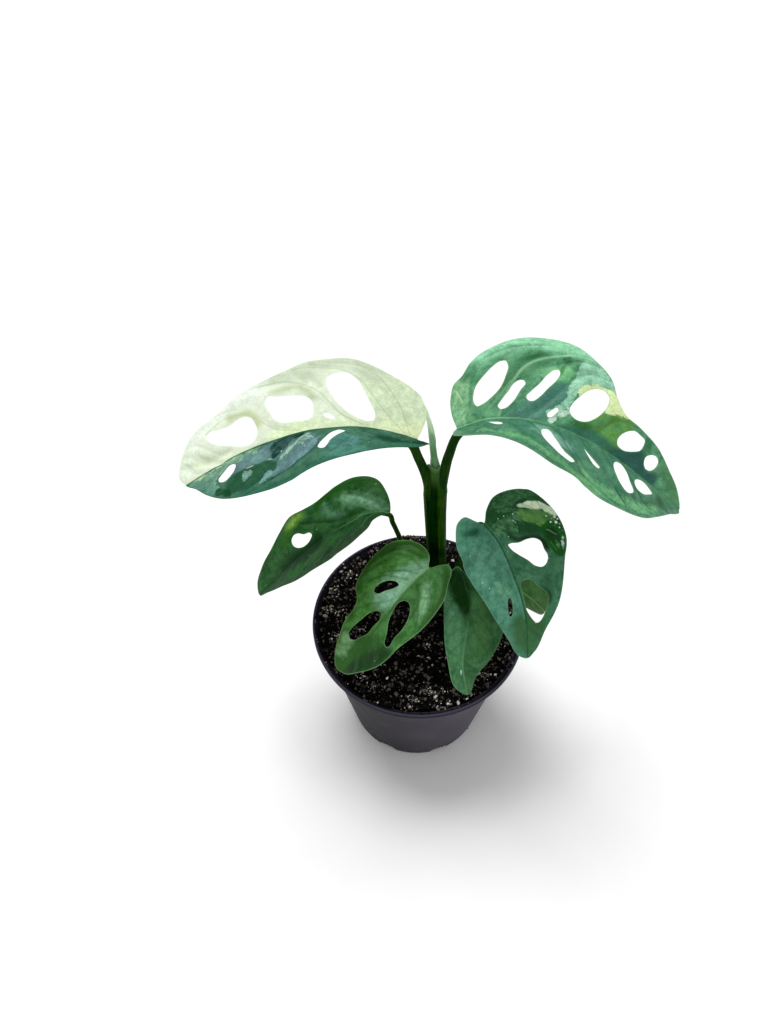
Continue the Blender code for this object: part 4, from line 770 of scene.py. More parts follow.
        ((98, 150, 114), 5.0, 0.3, 0.2, [(8, 12.5), (20, 13.5), (30, 10), (30, 3.5), (24, 4.5),
         (14, 9.5)]),
        ((88, 140, 98), 6.0, 0.5, 0.2, [(24, 10), (30, 9), (40, 6), (46, 2), (40, 0.8), (32, 2),
         (26, 4)]),
        ((52, 88, 52), 5.0, 0.5, 0.1, [(2, -1), (10, -2), (18, -5), (24, -10), (16, -10), (8, -6)]),
        ((76, 120, 70), 6.0, 0.5, 0.2, [(14, -4), (24, -9), (34, -10), (40, -6), (30, -4), (20, -2)]),
        # Painted highlight: a small glint near the tip
        ((190, 222, 224), 0.5, 0.3, 0.2, [(45.4, 1.1), (46.2, 1.6), (47.8, 1.6), (47.6, 1.1)]),
        ((150, 168, 140), 0.8, 0.6, 0.2, [(-1.5, -0.6), (0.5, -0.8), (2.6, -1.4), (1, -2), (-1, -1.6)]),
    ],
    "leaf_front_right": [
        ((34, 78, 42), 2.5, 0.4, 0.1, [(-5, -1.5), (-6, -12), (-3, -20), (1, -26), (7, -30), (15, -28),
         (15, -20), (13, -12), (9, -5.5), (4, -1.5)]),
        ((92, 142, 100), 1.0, 1.4, 0.9, [(2, -2.5), (3.5, -6), (4, -11), (4.5, -15), (7, -16), (9, -12),
         (11, -8), (8, -3)]),
        ((72, 116, 78), 1.5, 1.6, 0.8, [(-4, -8), (-4, -16), (-1, -23), (4, -26.5), (6, -25.5),
         (3, -19), (2, -10)]),
        ((18, 62, 22), 1.5, 0.8, 0.6, [(3, -17), (4, -22), (6, -26.5), (9, -28.5), (6.5, -25.5),
         (4.6, -21.5), (3.8, -17)]),
        ((34, 84, 60), 2.5, 0.5, 0.0, [(-2, 10.5), (-1.5, 6), (0.5, 3), (2, 6)]),
        # Painted shadow of the fold beside the first hole
        ((10, 50, 14), 2.0, 0.4, 0.0, [(8.5, -5.5), (12, -8), (13, -12), (15, -17), (18, -18.6),
         (21, -17.6), (19.5, -16), (16.5, -15.4), (15.6, -12), (14.4, -9), (11, -5)]),
        ((24, 92, 10), 0.8, 0.5, 0.0, [(12, -18.6), (12.5, -24), (13.5, -26.5), (16.5, -27),
         (18.5, -26), (22, -24.6), (25, -22.5), (24.5, -20.5), (21, -19), (16, -18)]),
        ((12, 58, 4), 1.5, 0.8, 0.3, [(14, -20), (15, -24), (18, -24), (20, -22), (18, -20)]),
        # Painted highlight on the wet film
        ((204, 230, 220), 0.4, 0.6, 0.2, [(17.8, -25.2), (19.6, -24.8), (22.6, -23.4), (20.4, -23.7),
         (18.4, -24.6)]),
        ((96, 150, 90), 0.5, 0.8, 0.4, [(17, -22.4), (19, -22.8), (21.4, -22), (21, -21.4),
         (18.6, -22)]),
        ((96, 144, 76), 0.8, 0.8, 0.3, [(4.5, -15), (6, -18), (8, -21.5), (9.5, -24.5), (11.5, -27.5),
         (13, -26.5), (12, -22.5), (12, -18.5), (10.5, -17), (8.5, -15), (6.5, -14.5)]),
        ((214, 230, 200), 0.5, 0.35, 0.0, [(3.8, -16), (4.4, -19), (5.6, -22), (7, -25), (8.6, -26.6),
         (11, -28.4), (12.4, -28.4), (10.8, -25.6), (8.8, -23.4), (7.4, -20.6), (5.6, -17.6)]),
        ((108, 166, 132), 2.0, 0.8, 0.4, [(25, 9), (28, 4.5), (31.5, 4.5), (31, 8.5), (28, 8.4)]),
        ((100, 156, 132), 7.0, 0.3, 0.2, [(8, 12), (16, 8), (22, 12), (30, 12), (22, 15), (12, 14)]),
        ((24, 68, 38), 2.0, 0.4, 0.0, [(32.5, -9), (35.5, -12.4), (39.5, -11), (39.5, -9.8),
         (35.6, -10.6)]),
        ((60, 104, 62), 6.0, 0.5, 0.1, [(38, -8), (52, -6), (60, 0), (54, 6), (44, 6), (40, 0)]),
    ],
}

# Lines drawn on the top of each leaf: a colour, its strength, its width and how deep it is sunk in
# millimetres, and its flat course
# Some lines are painted shade in creases and painted highlights, marked where they stand
LINES = {
    "leaf_upper_left": [
        ((172, 190, 150), 0.6, 0.5, 0.12, [(4, 0.5), (7, 7), (13, 16), (19.5, 23), (26, 27.5)]),
        ((172, 190, 150), 0.6, 0.5, 0.12, [(5.5, 0), (16.5, 9), (20.5, 14), (25, 20.5), (31, 25),
         (38.5, 27), (49, 27.5)]),
        ((172, 190, 150), 0.6, 0.5, 0.12, [(23.5, 1), (32, 5.5), (36.5, 11.5), (40.5, 17), (44.5, 20),
         (53, 23.5), (62.5, 25)]),
        ((176, 192, 154), 0.5, 0.5, 0.12, [(49, 1), (57.5, 4), (64, 10), (68, 14.5), (71.5, 16),
         (77.5, 17), (87.5, 15)]),
        # Darker lines sunk into the folds at the tip and the wrinkles below: painted shade in the
        # creases
        ((190, 204, 160), 0.5, 1.4, 0.7, [(94.5, 9), (89, 4.5), (84, 3.5), (79, 3.5)]),
        ((190, 204, 160), 0.5, 1.4, 0.7, [(101, 7), (94, 5), (88.5, 3), (84, 0.5)]),
        ((186, 200, 164), 0.5, 1.8, 0.6, [(42.5, 24), (40.5, 21), (38.5, 18)]),
        ((186, 200, 164), 0.5, 1.8, 0.6, [(48, 26), (45.5, 23.5), (43.5, 20.5)]),
        ((216, 196, 184), 0.8, 0.45, 0.0, [(68.5, -10.6), (70.4, -10.8), (72, -10.5)]),
        ((222, 214, 206), 0.7, 0.45, 0.0, [(60.5, -10.6), (61.3, -10.7), (62, -10.6)]),
        ((42, 76, 68), 0.9, 0.7, 0.4, [(41.2, -6.5), (42.4, -11), (45.5, -14.2), (49.5, -16.3),
         (54, -18.3), (61, -20.8)]),
        ((70, 104, 92), 0.5, 0.5, 0.1, [(0, -1), (8, -1.6), (16, -3.2), (22, -6)]),
        ((44, 90, 56), 0.95, 0.9, 0.0, [(-4, -0.35), (20, -0.4), (44, -0.4), (70, -0.35)]),
        ((58, 108, 62), 0.9, 0.7, 0.0, [(66, -0.3), (84, -0.3), (104, -0.2)]),
    ],
    "leaf_upper_right": [
        ((150, 204, 160), 0.6, 0.8, -0.25, [(17.5, -0.5), (20, -9.5), (22, -14.5), (25.5, -21.5),
         (31.5, -26), (37.5, -28.5)]),
        ((136, 192, 148), 0.5, 0.8, -0.2, [(12, -1.5), (19, -10.5), (21.5, -15)]),
        ((196, 224, 168), 0.8, 0.6, 0.0, [(3, -15), (4, -12), (4.5, -9)]),
        ((176, 212, 156), 0.7, 0.4, 0.0, [(5.4, -17), (6, -14.5)]),
        ((38, 90, 56), 0.7, 0.8, 0.4, [(70, 0), (76, 6), (82, 11), (87, 13)]),
        ((38, 90, 56), 0.6, 0.8, 0.4, [(60, 0), (66, 7), (74, 13), (80, 16)]),
        ((42, 94, 64), 0.6, 0.8, 0.4, [(78, -0.5), (82, -5), (84, -9), (84, -13)]),
        ((42, 94, 64), 0.6, 0.8, 0.4, [(64, -1), (70, -6), (74, -11), (75, -14)]),
        # Painted shade in a crease beside a hole
        ((44, 100, 60), 0.8, 1.0, 0.7, [(36, -19.5), (36.5, -22.5), (37.5, -26)]),
        ((40, 92, 66), 0.6, 0.9, 0.3, [(28, 0), (36.5, 12), (47.5, 19.5), (59, 23), (69.5, 24)]),
        ((40, 92, 66), 0.6, 0.9, 0.3, [(40, -0.5), (45.5, 11.5), (51, 20.5), (59, 22), (67, 23.5),
         (80, 19.5)]),
        ((40, 92, 66), 0.6, 0.9, 0.3, [(49.5, -0.5), (55, 6), (62, 11.5), (67, 16), (74, 20)]),
        ((56, 108, 84), 0.5, 1.0, 0.4, [(4.5, -2), (8, -9), (9, -16), (12, -22)]),
    ],
    "leaf_side_left": [
        ((84, 130, 92), 0.5, 1.1, -0.3, [(2.5, 1), (6.5, 1), (11, 0.8), (15.5, 0.6)]),
        ((80, 124, 90), 0.4, 1.0, -0.3, [(3, 0), (7.5, -3), (10.5, -8), (11.5, -13)]),
        ((26, 62, 32), 0.6, 1.3, 0.6, [(17, 15), (12, 11), (7.5, 6.5), (2.5, 2)]),
        ((18, 48, 26), 0.7, 1.3, 0.6, [(46, 15.5), (36.5, 10), (28, 5), (20.5, 3.5), (13, 2.5)]),
        ((88, 136, 92), 0.4, 1.0, -0.2, [(25, 15.5), (18.5, 11), (14, 6), (7.5, 1)]),
        ((16, 44, 28), 0.6, 1.4, 0.5, [(36.5, 1.5), (39, -2.5), (43, -5)]),
    ],
    "leaf_front_left": [
        ((132, 182, 126), 0.6, 1.3, -0.2, [(-0.5, 0.8), (5.5, 1.2), (12, 1.2), (18.5, 1.2)]),
        ((66, 118, 54), 0.6, 0.7, 0.15, [(-1, -0.6), (8, -0.6), (20, -0.5), (32, -0.4)]),
        ((150, 198, 142), 0.7, 0.7, -0.1, [(-1, 0.2), (8, 0.3), (18, 0.3), (26, 0.2)]),
        ((52, 100, 44), 0.6, 0.9, 0.4, [(10, 2), (13, 8), (16, 13), (22, 17)]),
        ((52, 98, 46), 0.6, 0.9, 0.4, [(20, -1), (24, -6), (29, -10), (36, -12)]),
        ((40, 86, 26), 0.8, 1.1, 0.6, [(-2, 6), (0, 12), (4, 18), (10, 22)]),
        ((40, 86, 26), 0.7, 0.9, 0.5, [(-4, 8), (-2, 15), (3, 20.5), (9, 23.5)]),
        ((56, 106, 46), 0.6, 0.9, 0.3, [(5, 1.5), (7, 5), (9, 8.5), (13.5, 11)]),
        ((48, 94, 40), 0.6, 0.9, 0.4, [(9, -1.5), (11.5, -5.5), (14.5, -8.5), (21.5, -11)]),
        ((54, 102, 46), 0.5, 1.0, 0.3, [(2, 2), (2, 8), (4, 14), (9, 19)]),
    ],
    "leaf_front_middle": [
        ((36, 78, 32), 0.5, 0.5, 0.2, [(4, -0.4), (16, -0.4), (26, -0.4)]),
        ((120, 166, 118), 0.6, 0.5, -0.1, [(24, 0.2), (34, 0.2), (44, 0.2), (52, 0)]),
    ],
    "leaf_front_right": [
        ((30, 78, 48), 0.6, 0.5, 0.12, [(-2, -0.2), (14, -0.2), (30, -0.2), (46, 0)]),
        ((104, 158, 132), 0.5, 0.8, -0.1, [(2, 0.8), (14, 0.9), (30, 0.9), (44, 0.8)]),
        ((24, 70, 38), 0.6, 1.0, 0.3, [(2, -5), (5.5, -6.5), (10.5, -7)]),
        # Painted highlights along the wet film
        ((190, 220, 208), 0.6, 0.35, 0.0, [(18.6, -25.0), (20.4, -24.2), (22.4, -23.2)]),
        ((150, 196, 150), 0.5, 0.3, 0.0, [(14, -20.4), (14.8, -21.6), (16, -22.4), (17, -23.6)]),
        ((110, 164, 100), 0.5, 0.3, 0.0, [(18, -19.6), (20, -20.2), (22, -20.8)]),
    ],
}


def linear(colour):
    """Red, green and blue, 0 to 255, as shares of light."""
    shares = [value / 255.0 for value in colour]
    return [s / 12.92 if s <= 0.04045 else ((s + 0.055) / 1.055) ** 2.4 for s in shares]


def rgb(colour):
    """The surface colour that shows as this red, green and blue, 0 to 255, in the scene's light."""
    return (*[max(s - MIRRORED, LEAST_SHARE * s) / PHOTO_LIGHT for s in linear(colour)], 1.0)


class Paint:
    """One material, and short ways to add nodes to it."""

    def __init__(self, name):
        self.material = bpy.data.materials.new(name)
        self.material.use_nodes = True
        self.tree = self.material.node_tree
        self.shader = self.tree.nodes["Principled BSDF"]

    def feed(self, socket, value):
        """Links an output to a socket, or sets the socket to a plain value."""
        if isinstance(value, bpy.types.NodeSocket):
            self.tree.links.new(value, socket)
        elif value is not None:
            socket.default_value = value

    def node(self, kind, values, **settings):
        """The outputs of a new node, with its settings made and its inputs fed."""
        node = self.tree.nodes.new(kind)
        for name, setting in settings.items():
            setattr(node, name, setting)
        for socket, value in values.items():
            self.feed(node.inputs[socket], value)
        return node.outputs

    def surface(self, colour, roughness, mirror):
        """Sets the colour, the roughness and the reflection of the surface."""
        values = {"Base Color": colour, "Roughness": roughness, "Specular IOR Level": mirror}
        for name, value in values.items():
            self.feed(self.shader.inputs[name], value)

    def math(self, operation, a, b=None):
        return self.node("ShaderNodeMath", {0: a, 1: b}, operation=operation)[0]

    def vector(self, x, y, z=0.0):
        return self.node("ShaderNodeCombineXYZ", {0: x, 1: y, 2: z})[0]

    def parts(self, vector):
        return self.node("ShaderNodeSeparateXYZ", {0: vector})

    def field(self, name, kind="Fac"):
        """A value stored on the mesh."""
        return self.node("ShaderNodeAttribute", {}, attribute_name=name)[kind]

    def place(self):
        """The place on the object, in metres."""
        return self.node("ShaderNodeTexCoord", {})["Object"]

    def noise(self, place, scale, detail=3.0, roughness=0.55, distortion=0.0):
        values = {"Vector": place, "Scale": scale, "Detail": detail, "Roughness": roughness}
        return self.node("ShaderNodeTexNoise", {**values, "Distortion": distortion})["Fac"]

    def fibres(self, place, across, along):
        """Noise drawn out into upright streaks."""
        x, y, z = self.parts(place)
        drawn = self.vector(self.times(x, across), self.times(y, across), self.times(z, along))
        return self.noise(drawn, 1.0)

    def cells(self, place, scale, feature="F1"):
        values = {"Vector": place, "Scale": scale}
        return self.node("ShaderNodeTexVoronoi", values, feature=feature)["Distance"]

    def rise(self, value, low, high):
        """Goes smoothly from 0 at low to 1 at high."""
        values = {"Value": value, "From Min": low, "From Max": high}
        return self.node("ShaderNodeMapRange", values, interpolation_type="SMOOTHSTEP")[0]

    def fall(self, value, low, high):
        """Goes smoothly from 1 at low to 0 at high."""
        return self.math("SUBTRACT", 1.0, self.rise(value, low, high))

    def times(self, a, b):
        return self.math("MULTIPLY", a, b)

    def plus(self, a, b):
        return self.math("ADD", a, b)

    def spread(self, value, low, high):
        """Turns 0 to 1 into low to high."""
        return self.plus(self.times(value, high - low), low)

    def swing(self, value, size):
        """Turns 0 to 1 into a swing of this size about 0."""
        return self.times(self.plus(value, -0.5), size)

    def total(self, *terms):
        """The sum of values, each times its share."""
        total = self.times(*terms[0])
        for value, share in terms[1:]:
            total = self.plus(total, self.times(value, share))
        return total

    def blend(self, a, b, share):
        """Mixes two colours; one of three numbers is meant as the photograph shows it."""
        first, second = (rgb(c) if isinstance(c, tuple) and len(c) == 3 else c for c in (a, b))
        return self.node("ShaderNodeMix", {0: share, 6: first, 7: second}, data_type="RGBA")[2]

    def layers(self, colour, *layers):
        """Lays more colours over the first, each where its cover says."""
        for shade, cover in layers:
            colour = self.blend(colour, shade, cover)
        return colour

    def bump(self, height, distance, strength):
        values = {"Height": height, "Distance": distance, "Strength": strength}
        self.feed(self.shader.inputs["Normal"], self.node("ShaderNodeBump", values)[0])


def link(name, data):
    """A new object in the scene."""
    thing = bpy.data.objects.new(name, data)
    bpy.context.scene.collection.objects.link(thing)
    return thing


def new_mesh(name, points, faces):
    """A mesh from points in millimetres."""
    mesh = bpy.data.meshes.new(name)
    mesh.from_pydata((np.asarray(points, float) * MM).tolist(), [], faces)
    return mesh


def make_piece(name, points, faces, materials, slots=None):
    """A smooth mesh piece that rides on the plant's one body."""
    mesh = new_mesh(name, points, faces)
    for material in materials:
        mesh.materials.append(material)
    if slots is not None:
        mesh.polygons.foreach_set("material_index", slots)
    mesh.shade_smooth()
    mesh.update()
    thing = link(name, mesh)
    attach(thing, BODY)
    return thing


def stand_for(piece, node):
    """Lets a piece take the place of a node of the frame, by hiding the node."""
    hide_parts(node)


def store(piece, **fields):
    """Keeps one number per point on a mesh for each name, for its material."""
    for name, values in fields.items():
        field = piece.data.attributes.new(name, "FLOAT", "POINT")
        field.data.foreach_set("value", np.asarray(values, np.float32))


def store_places(piece, name, places):
    """Keeps one place per point on a mesh, for its material."""
    field = piece.data.attributes.new(name, "FLOAT_VECTOR", "POINT")
    field.data.foreach_set("vector", np.asarray(places, np.float32).ravel())


def smooth_points(points, step, closed=False):
    """Points about one step apart on a smooth curve through the given points."""
    knots = np.array(points, float)
    if closed:
        knots = np.vstack([knots[-1:], knots, knots[:2]])
    else:
        knots = np.vstack([2 * knots[0] - knots[1], knots, 2 * knots[-1] - knots[-2]])
    spans = np.linalg.norm(np.diff(knots, axis=0), axis=1)
    slopes = np.diff(knots, axis=0) / spans[:, None]
    ahead, behind = spans[1:, None], spans[:-1, None]
    tangents = (slopes[:-1] * ahead + slopes[1:] * behind) / (ahead + behind)
    samples = []
    for i in range(len(knots) - 3):
        start, end, span = knots[i + 1], knots[i + 2], spans[i + 1]
        leave, arrive = tangents[i] * span, tangents[i + 1] * span
        count = max(1, round(span / step))
        for k in range(count):
            t = k / count
            samples.append(
                (2 * t**3 - 3 * t**2 + 1) * start + (t**3 - 2 * t**2 + t) * leave
                + (3 * t**2 - 2 * t**3) * end + (t**3 - t**2) * arrive
            )
    if not closed:
        samples.append(knots[-2])
    return np.array(samples)


def inside(points, loop):
    """For each point, whether it lies in the closed loop."""
    x, y = points[:, 0][:, None], points[:, 1][:, None]
    x0, y0 = loop[:, 0], loop[:, 1]
    x1, y1 = np.roll(x0, -1), np.roll(y0, -1)
    crosses = (y0 > y) != (y1 > y)
    reach = x0 + (y - y0) * (x1 - x0) / np.where(y1 == y0, 1e-9, y1 - y0)
    return (crosses & (x < reach)).sum(axis=1) % 2 == 1


def distance_to(points, loop):
    """Distance from each point to the nearest point of a closed loop."""
    runs = np.roll(loop, -1, axis=0) - loop
    lengths = np.maximum((runs**2).sum(axis=1), 1e-12)
    nearest = np.full(len(points), 1e9)
    for start, run, length in zip(loop, runs, lengths):
        away = points - start
        along = np.clip(away @ run / length, 0.0, 1.0)
        gap = away - along[:, None] * run
        nearest = np.minimum(nearest, (gap**2).sum(axis=1))
    return np.sqrt(nearest)


def distance_from_line(flat, course):
    """Distance of flat points from an open course, signed by side, and how far past its ends."""
    best = np.full(len(flat), 1e9)
    signs = np.ones(len(flat))
    past = np.full(len(flat), PAST_LEAST)
    last = len(course) - 2
    for k, (start, end) in enumerate(zip(course[:-1], course[1:])):
        run = end - start
        length = np.linalg.norm(run)
        away = flat - start
        along = np.clip(away @ run / (run @ run), 0.0, 1.0)
        gap = np.linalg.norm(away - along[:, None] * run, axis=1)
        closer = gap < best
        signs[closer] = np.sign(away[:, 0] * run[1] - away[:, 1] * run[0])[closer]
        best = np.minimum(best, gap)
        reach = away @ run / length
        before = -reach if k == 0 else PAST_LEAST
        after = reach - length if k == last else PAST_LEAST
        past[closer] = (np.maximum(before, after) + np.zeros(len(flat)))[closer]
    return best * signs, past


def unit(vectors):
    return vectors / np.maximum(np.linalg.norm(vectors, axis=-1, keepdims=True), 1e-12)


def hump(away, width):
    """1 in the middle of a soft hump, and less with the distance from it."""
    return np.exp(-((away / width) ** 2))


def ramp(value, low, width):
    """0 up to low, then grows evenly to 1 over the width."""
    return np.clip((value - low) / width, 0.0, 1.0)


def pick(right, pair):
    """The second of a pair for the points on the right half of a blade, the first for the others."""
    return np.where(right, pair[1], pair[0])


def noise_at(flat, lengths, seed):
    """Smooth noise at flat points, drawn out by a length each way."""
    return np.array([noise.noise(Vector((u / lengths[0], v / lengths[1], seed))) for u, v in flat])


def point_normals(points, faces):
    """Smooth normals of a triangle mesh."""
    a, b, c = (points[faces[:, k]] for k in range(3))
    across = np.cross(b - a, c - a)
    normals = np.zeros_like(points)
    for k in range(3):
        np.add.at(normals, faces[:, k], across)
    return unit(normals)


class Blade:
    """The bent surface of one leaf, with the course of its side veins."""

    def __init__(self, leaf, lean):
        self.leaf = leaf
        self.lean = lean
        self.spine = smooth_points(leaf["spine"], SPINE_STEP)
        steps = np.linalg.norm(np.diff(self.spine, axis=0), axis=1)
        self.along = np.concatenate([[0.0], np.cumsum(steps)])
        self.length = self.along[-1]
        self.width = max(abs(v) for u, v in leaf["outline"])
        self.tangents = unit(np.gradient(self.spine, self.along, axis=0))
        self.edge = smooth_points(leaf["outline"], EDGE_STEP, closed=True)
        self.holes = [smooth_points(loop, HOLE_STEP, closed=True) for loop in leaf["hole_outlines"]]
        self.holes += [slot_outline(*slot) for slot in leaf["slots"]]
        self.stations = np.arange(self.edge[:, 0].min(), self.edge[:, 0].max(), 1.0)
        self.reach = [self.half_width(-1), self.half_width(1)]
        self.starts = [self.vein_starts(-1), self.vein_starts(1)]

    def covers(self, flat):
        """For each flat point, whether it lies on the blade and in none of its holes."""
        covered = inside(flat, self.edge)
        for hole in self.holes:
            covered &= ~inside(flat, hole)
        return covered

    def border_gap(self, flat):
        """Distance of each flat point from the nearest edge or hole."""
        return np.min([distance_to(flat, loop) for loop in (self.edge, *self.holes)], axis=0)

    def half_width(self, sign):
        """How far the blade reaches out from its midrib at each station, on one side."""
        widths = []
        ahead = np.roll(self.edge, -1, axis=0)
        for u in self.stations:
            crosses = (self.edge[:, 0] - u) * (ahead[:, 0] - u) <= 0
            outs = sign * self.edge[crosses, 1]
            widths.append(max(outs.max() if len(outs) else 0.0, LEAST_HALF_WIDTH))
        widest = int(np.argmax(widths))
        widths[:widest] = [widths[widest]] * widest
        return np.array(widths)

    def frame(self, u):
        """Point, direction, side and normal of the midrib at distances u from the base."""
        u = np.atleast_1d(u)
        on = np.clip(u, 0.0, self.length)
        point, direction = (
            np.stack([np.interp(on, self.along, line[:, i]) for i in range(3)], axis=1)
            for line in (self.spine, self.tangents)
        )
        direction = unit(direction)
        point = point + direction * (u - on)[:, None]
        side = unit(np.cross(direction, (0.0, 0.0, 1.0)))
        return point, direction, side, np.cross(side, direction)

    def place(self, flat):
        """The points of the bent blade that the flat points become."""
        u, v = flat[:, 0], flat[:, 1]
        point, _, side, normal = self.frame(u)
        right = v > 0
        share = np.clip(u / self.length, 0.0, 1.0)
        folds = [self.leaf["left_fold"], self.leaf["right_fold"]]
        folds = [np.interp(share, np.linspace(0.0, 1.0, len(fold)), fold) for fold in folds]
        fold = np.radians(pick(right, folds))
        bend = np.radians(pick(right, self.leaf["curl"])) / 10.0
        out = np.abs(v)
        soft = np.sqrt(out**2 + FOLD_SOFTNESS**2) - FOLD_SOFTNESS
        across = (np.sin(fold) - np.sin(fold - bend * out)) / bend
        rise = (np.cos(fold - bend * soft) - np.cos(fold)) / bend
        phase = u * math.tau / WAVE_LENGTH + pick(right, WAVE_PHASES)
        rise = rise + self.leaf["wave"] * (out / self.width) ** 2 * np.sin(phase)
        return point + side * (np.sign(v) * across)[:, None] + normal * rise[:, None]

    def vein_origin(self, flat):
        """Where on the midrib the side vein through each flat point leaves it."""
        u, v = flat[:, 0].copy(), flat[:, 1]
        right = v > 0
        lean = pick(right, self.lean)
        for k in range(VEIN_STEPS):
            out = np.abs(v) * (1.0 - (k + 0.5) / VEIN_STEPS)
            reach = pick(right, [np.interp(u, self.stations, widths) for widths in self.reach])
            t = np.clip(out / reach, 0.0, 1.0)
            forward = lean * (1.0 + VEIN_ROOT * np.exp(-t / VEIN_ROOT_SHARE)) + VEIN_SWEEP * t**7
            u = u - np.abs(v) / VEIN_STEPS * forward
        return u

    def vein_starts(self, sign):
        """Places on the midrib of the main side veins, which run between the holes."""
        spans = []
        for hole in self.holes:
            part = hole[sign * hole[:, 1] > 0]
            if len(part) > 3:
                origins = self.vein_origin(part)
                spans.append([origins.min(), origins.max()])
        free_from = -VEIN_SPACING
        starts = []
        for low, high in sorted(spans) + [[self.length + 1.0, self.length + 1.0]]:
            room = low - free_from
            if room > 0.0:
                count = max(1, round(room / VEIN_SPACING))
                starts += [free_from + room * (k + 0.5) / count for k in range(count)]
            free_from = max(free_from, high)
        return np.array(starts)

    def lane(self, flat):
        """A number that is whole on each main side vein, and grows evenly between them."""
        origin = self.vein_origin(flat)
        lanes = []
        for starts in self.starts:
            ends = [starts[0] - 5 * VEIN_SPACING, *starts, starts[-1] + 5 * VEIN_SPACING]
            numbers = [-5.0, *range(len(starts)), len(starts) + 4.0]
            lanes.append(np.interp(origin, ends, numbers))
        return pick(flat[:, 1] > 0, lanes)

    def lane_gap(self, flat):
        """Distance in millimetres between one main side vein and the next, round each point."""
        outward = NUDGE * np.where(flat[:, 1:2] > 0, 1.0, -1.0)
        here = self.lane(flat)
        along = self.lane(flat + [NUDGE, 0.0]) - here
        across = self.lane(flat + np.hstack([np.zeros_like(outward), outward])) - here
        return NUDGE / np.maximum(np.hypot(along, across), 0.004)


def slot_outline(middle_u, middle_v, length, width, angle):
    """A closed outline of a rounded slot, a little fuller than an ellipse."""
    turn = math.radians(angle)
    count = max(16, round(2.0 * (length + width) / HOLE_STEP))
    points = []
    for k in range(count):
        a = math.tau * k / count
        along = 0.5 * length * math.copysign(abs(math.cos(a)) ** SLOT_FULLNESS, math.cos(a))
        across = 0.5 * width * math.copysign(abs(math.sin(a)) ** SLOT_FULLNESS, math.sin(a))
        points.append((
            middle_u + along * math.cos(turn) - across * math.sin(turn),
            middle_v + along * math.sin(turn) + across * math.cos(turn),
        ))
    return np.array(points)


def flat_grid(blade):
    """Flat points inside a blade: rows along its midrib, and an even grid beside them."""
    low, high = blade.edge.min(axis=0), blade.edge.max(axis=0)
    grid = [(u, v) for v in RIB_ROWS for u in np.arange(low[0], blade.length, GRID_STEP)]
    for row, u in enumerate(np.arange(low[0], high[0], GRID_STEP * ROW_SHARE)):
        for v in np.arange(low[1] + row % 2 * GRID_STEP / 2, high[1], GRID_STEP):
            if abs(v) > RIB_ROWS[-1] + 0.4 * GRID_STEP:
                grid.append((u, v))
    grid = np.array(grid)
    grid = grid[blade.covers(grid)]
    return grid[blade.border_gap(grid) > EDGE_CLEAR]


def flat_blade(blade):
    """Flat points and triangles of a blade."""
    loops = [blade.edge] + blade.holes
    edges, first = [], 0
    for loop in loops:
        count = len(loop)
        edges += [(first + k, first + (k + 1) % count) for k in range(count)]
        first += count
    points = [Vector(point) for point in np.vstack([*loops, flat_grid(blade)])]
    flat, _, faces, _, _, _ = delaunay_2d_cdt(points, edges, [], 1, 1e-5)
    flat, faces = np.array([tuple(point) for point in flat]), np.array(faces)
    faces = faces[blade.covers(flat[faces].mean(axis=1))]
    used, renumbered = np.unique(faces, return_inverse=True)
    return flat[used], renumbered.reshape(faces.shape)


def border_edges(faces):
    """Directed edges that only one triangle uses."""
    edges = np.vstack([faces[:, [0, 1]], faces[:, [1, 2]], faces[:, [2, 0]]]).tolist()
    known = {(a, b) for a, b in edges}
    return [(a, b) for a, b in edges if (b, a) not in known]


def blade_relief(flat, lane, gap, edge, seed, depth):
    """Height of the fine relief on top of a blade: quilting, sunk veins and slow unevenness."""
    from_rib = np.abs(flat[:, 1])
    to_vein = np.abs(lane - np.round(lane)) * gap
    inner = ramp(edge, 0.0, QUILT_FROM_EDGE) * ramp(from_rib, 0.0, QUILT_FROM_RIB)
    quilt = depth * (np.sin(np.pi * lane) ** 2 - 1.0) * inner
    veins = -VEIN_DEPTH * (0.3 + depth) * hump(to_vein, VEIN_WIDTH) * inner
    rib = -RIB_DEPTH * hump(from_rib, RIB_WIDTH)
    uneven = SLOW_HEIGHT * noise_at(flat, SLOW_LENGTHS, seed)
    uneven = uneven + FINE_HEIGHT * noise_at(flat, FINE_LENGTHS, seed + 9.0)
    return quilt + veins + rib + uneven * ramp(edge, 0.0, UNEVEN_FROM_EDGE)


def blade_skins(blade, flat, faces, edge, relief):
    """Points, faces and material numbers of a blade: its top, its underside and its rim."""
    middle = blade.place(flat)
    normals = -point_normals(middle, faces)
    half = BLADE_THICKNESS / 2.0 * np.clip(RIM_THICKNESS + edge / RIM_TAPER, 0.0, 1.0)
    share = np.clip(flat[:, 0] / blade.length, 0.0, 1.0)
    keel = KEEL_HEIGHT * (1.0 - KEEL_TAPER * share) * hump(flat[:, 1], KEEL_WIDTH)
    keel = keel * ramp(edge, 0.0, LINE_FROM_EDGE)
    top = middle + normals * (half + relief)[:, None]
    low = middle - normals * (half - relief + keel)[:, None]
    count = len(flat)
    rim = [(a, b, b + count, a + count) for a, b in border_edges(faces)]
    skins = faces[:, ::-1].tolist() + (faces + count).tolist() + rim
    return np.vstack([top, low]), skins, [0] * len(faces) + [1] * len(faces) + [0] * len(rim)


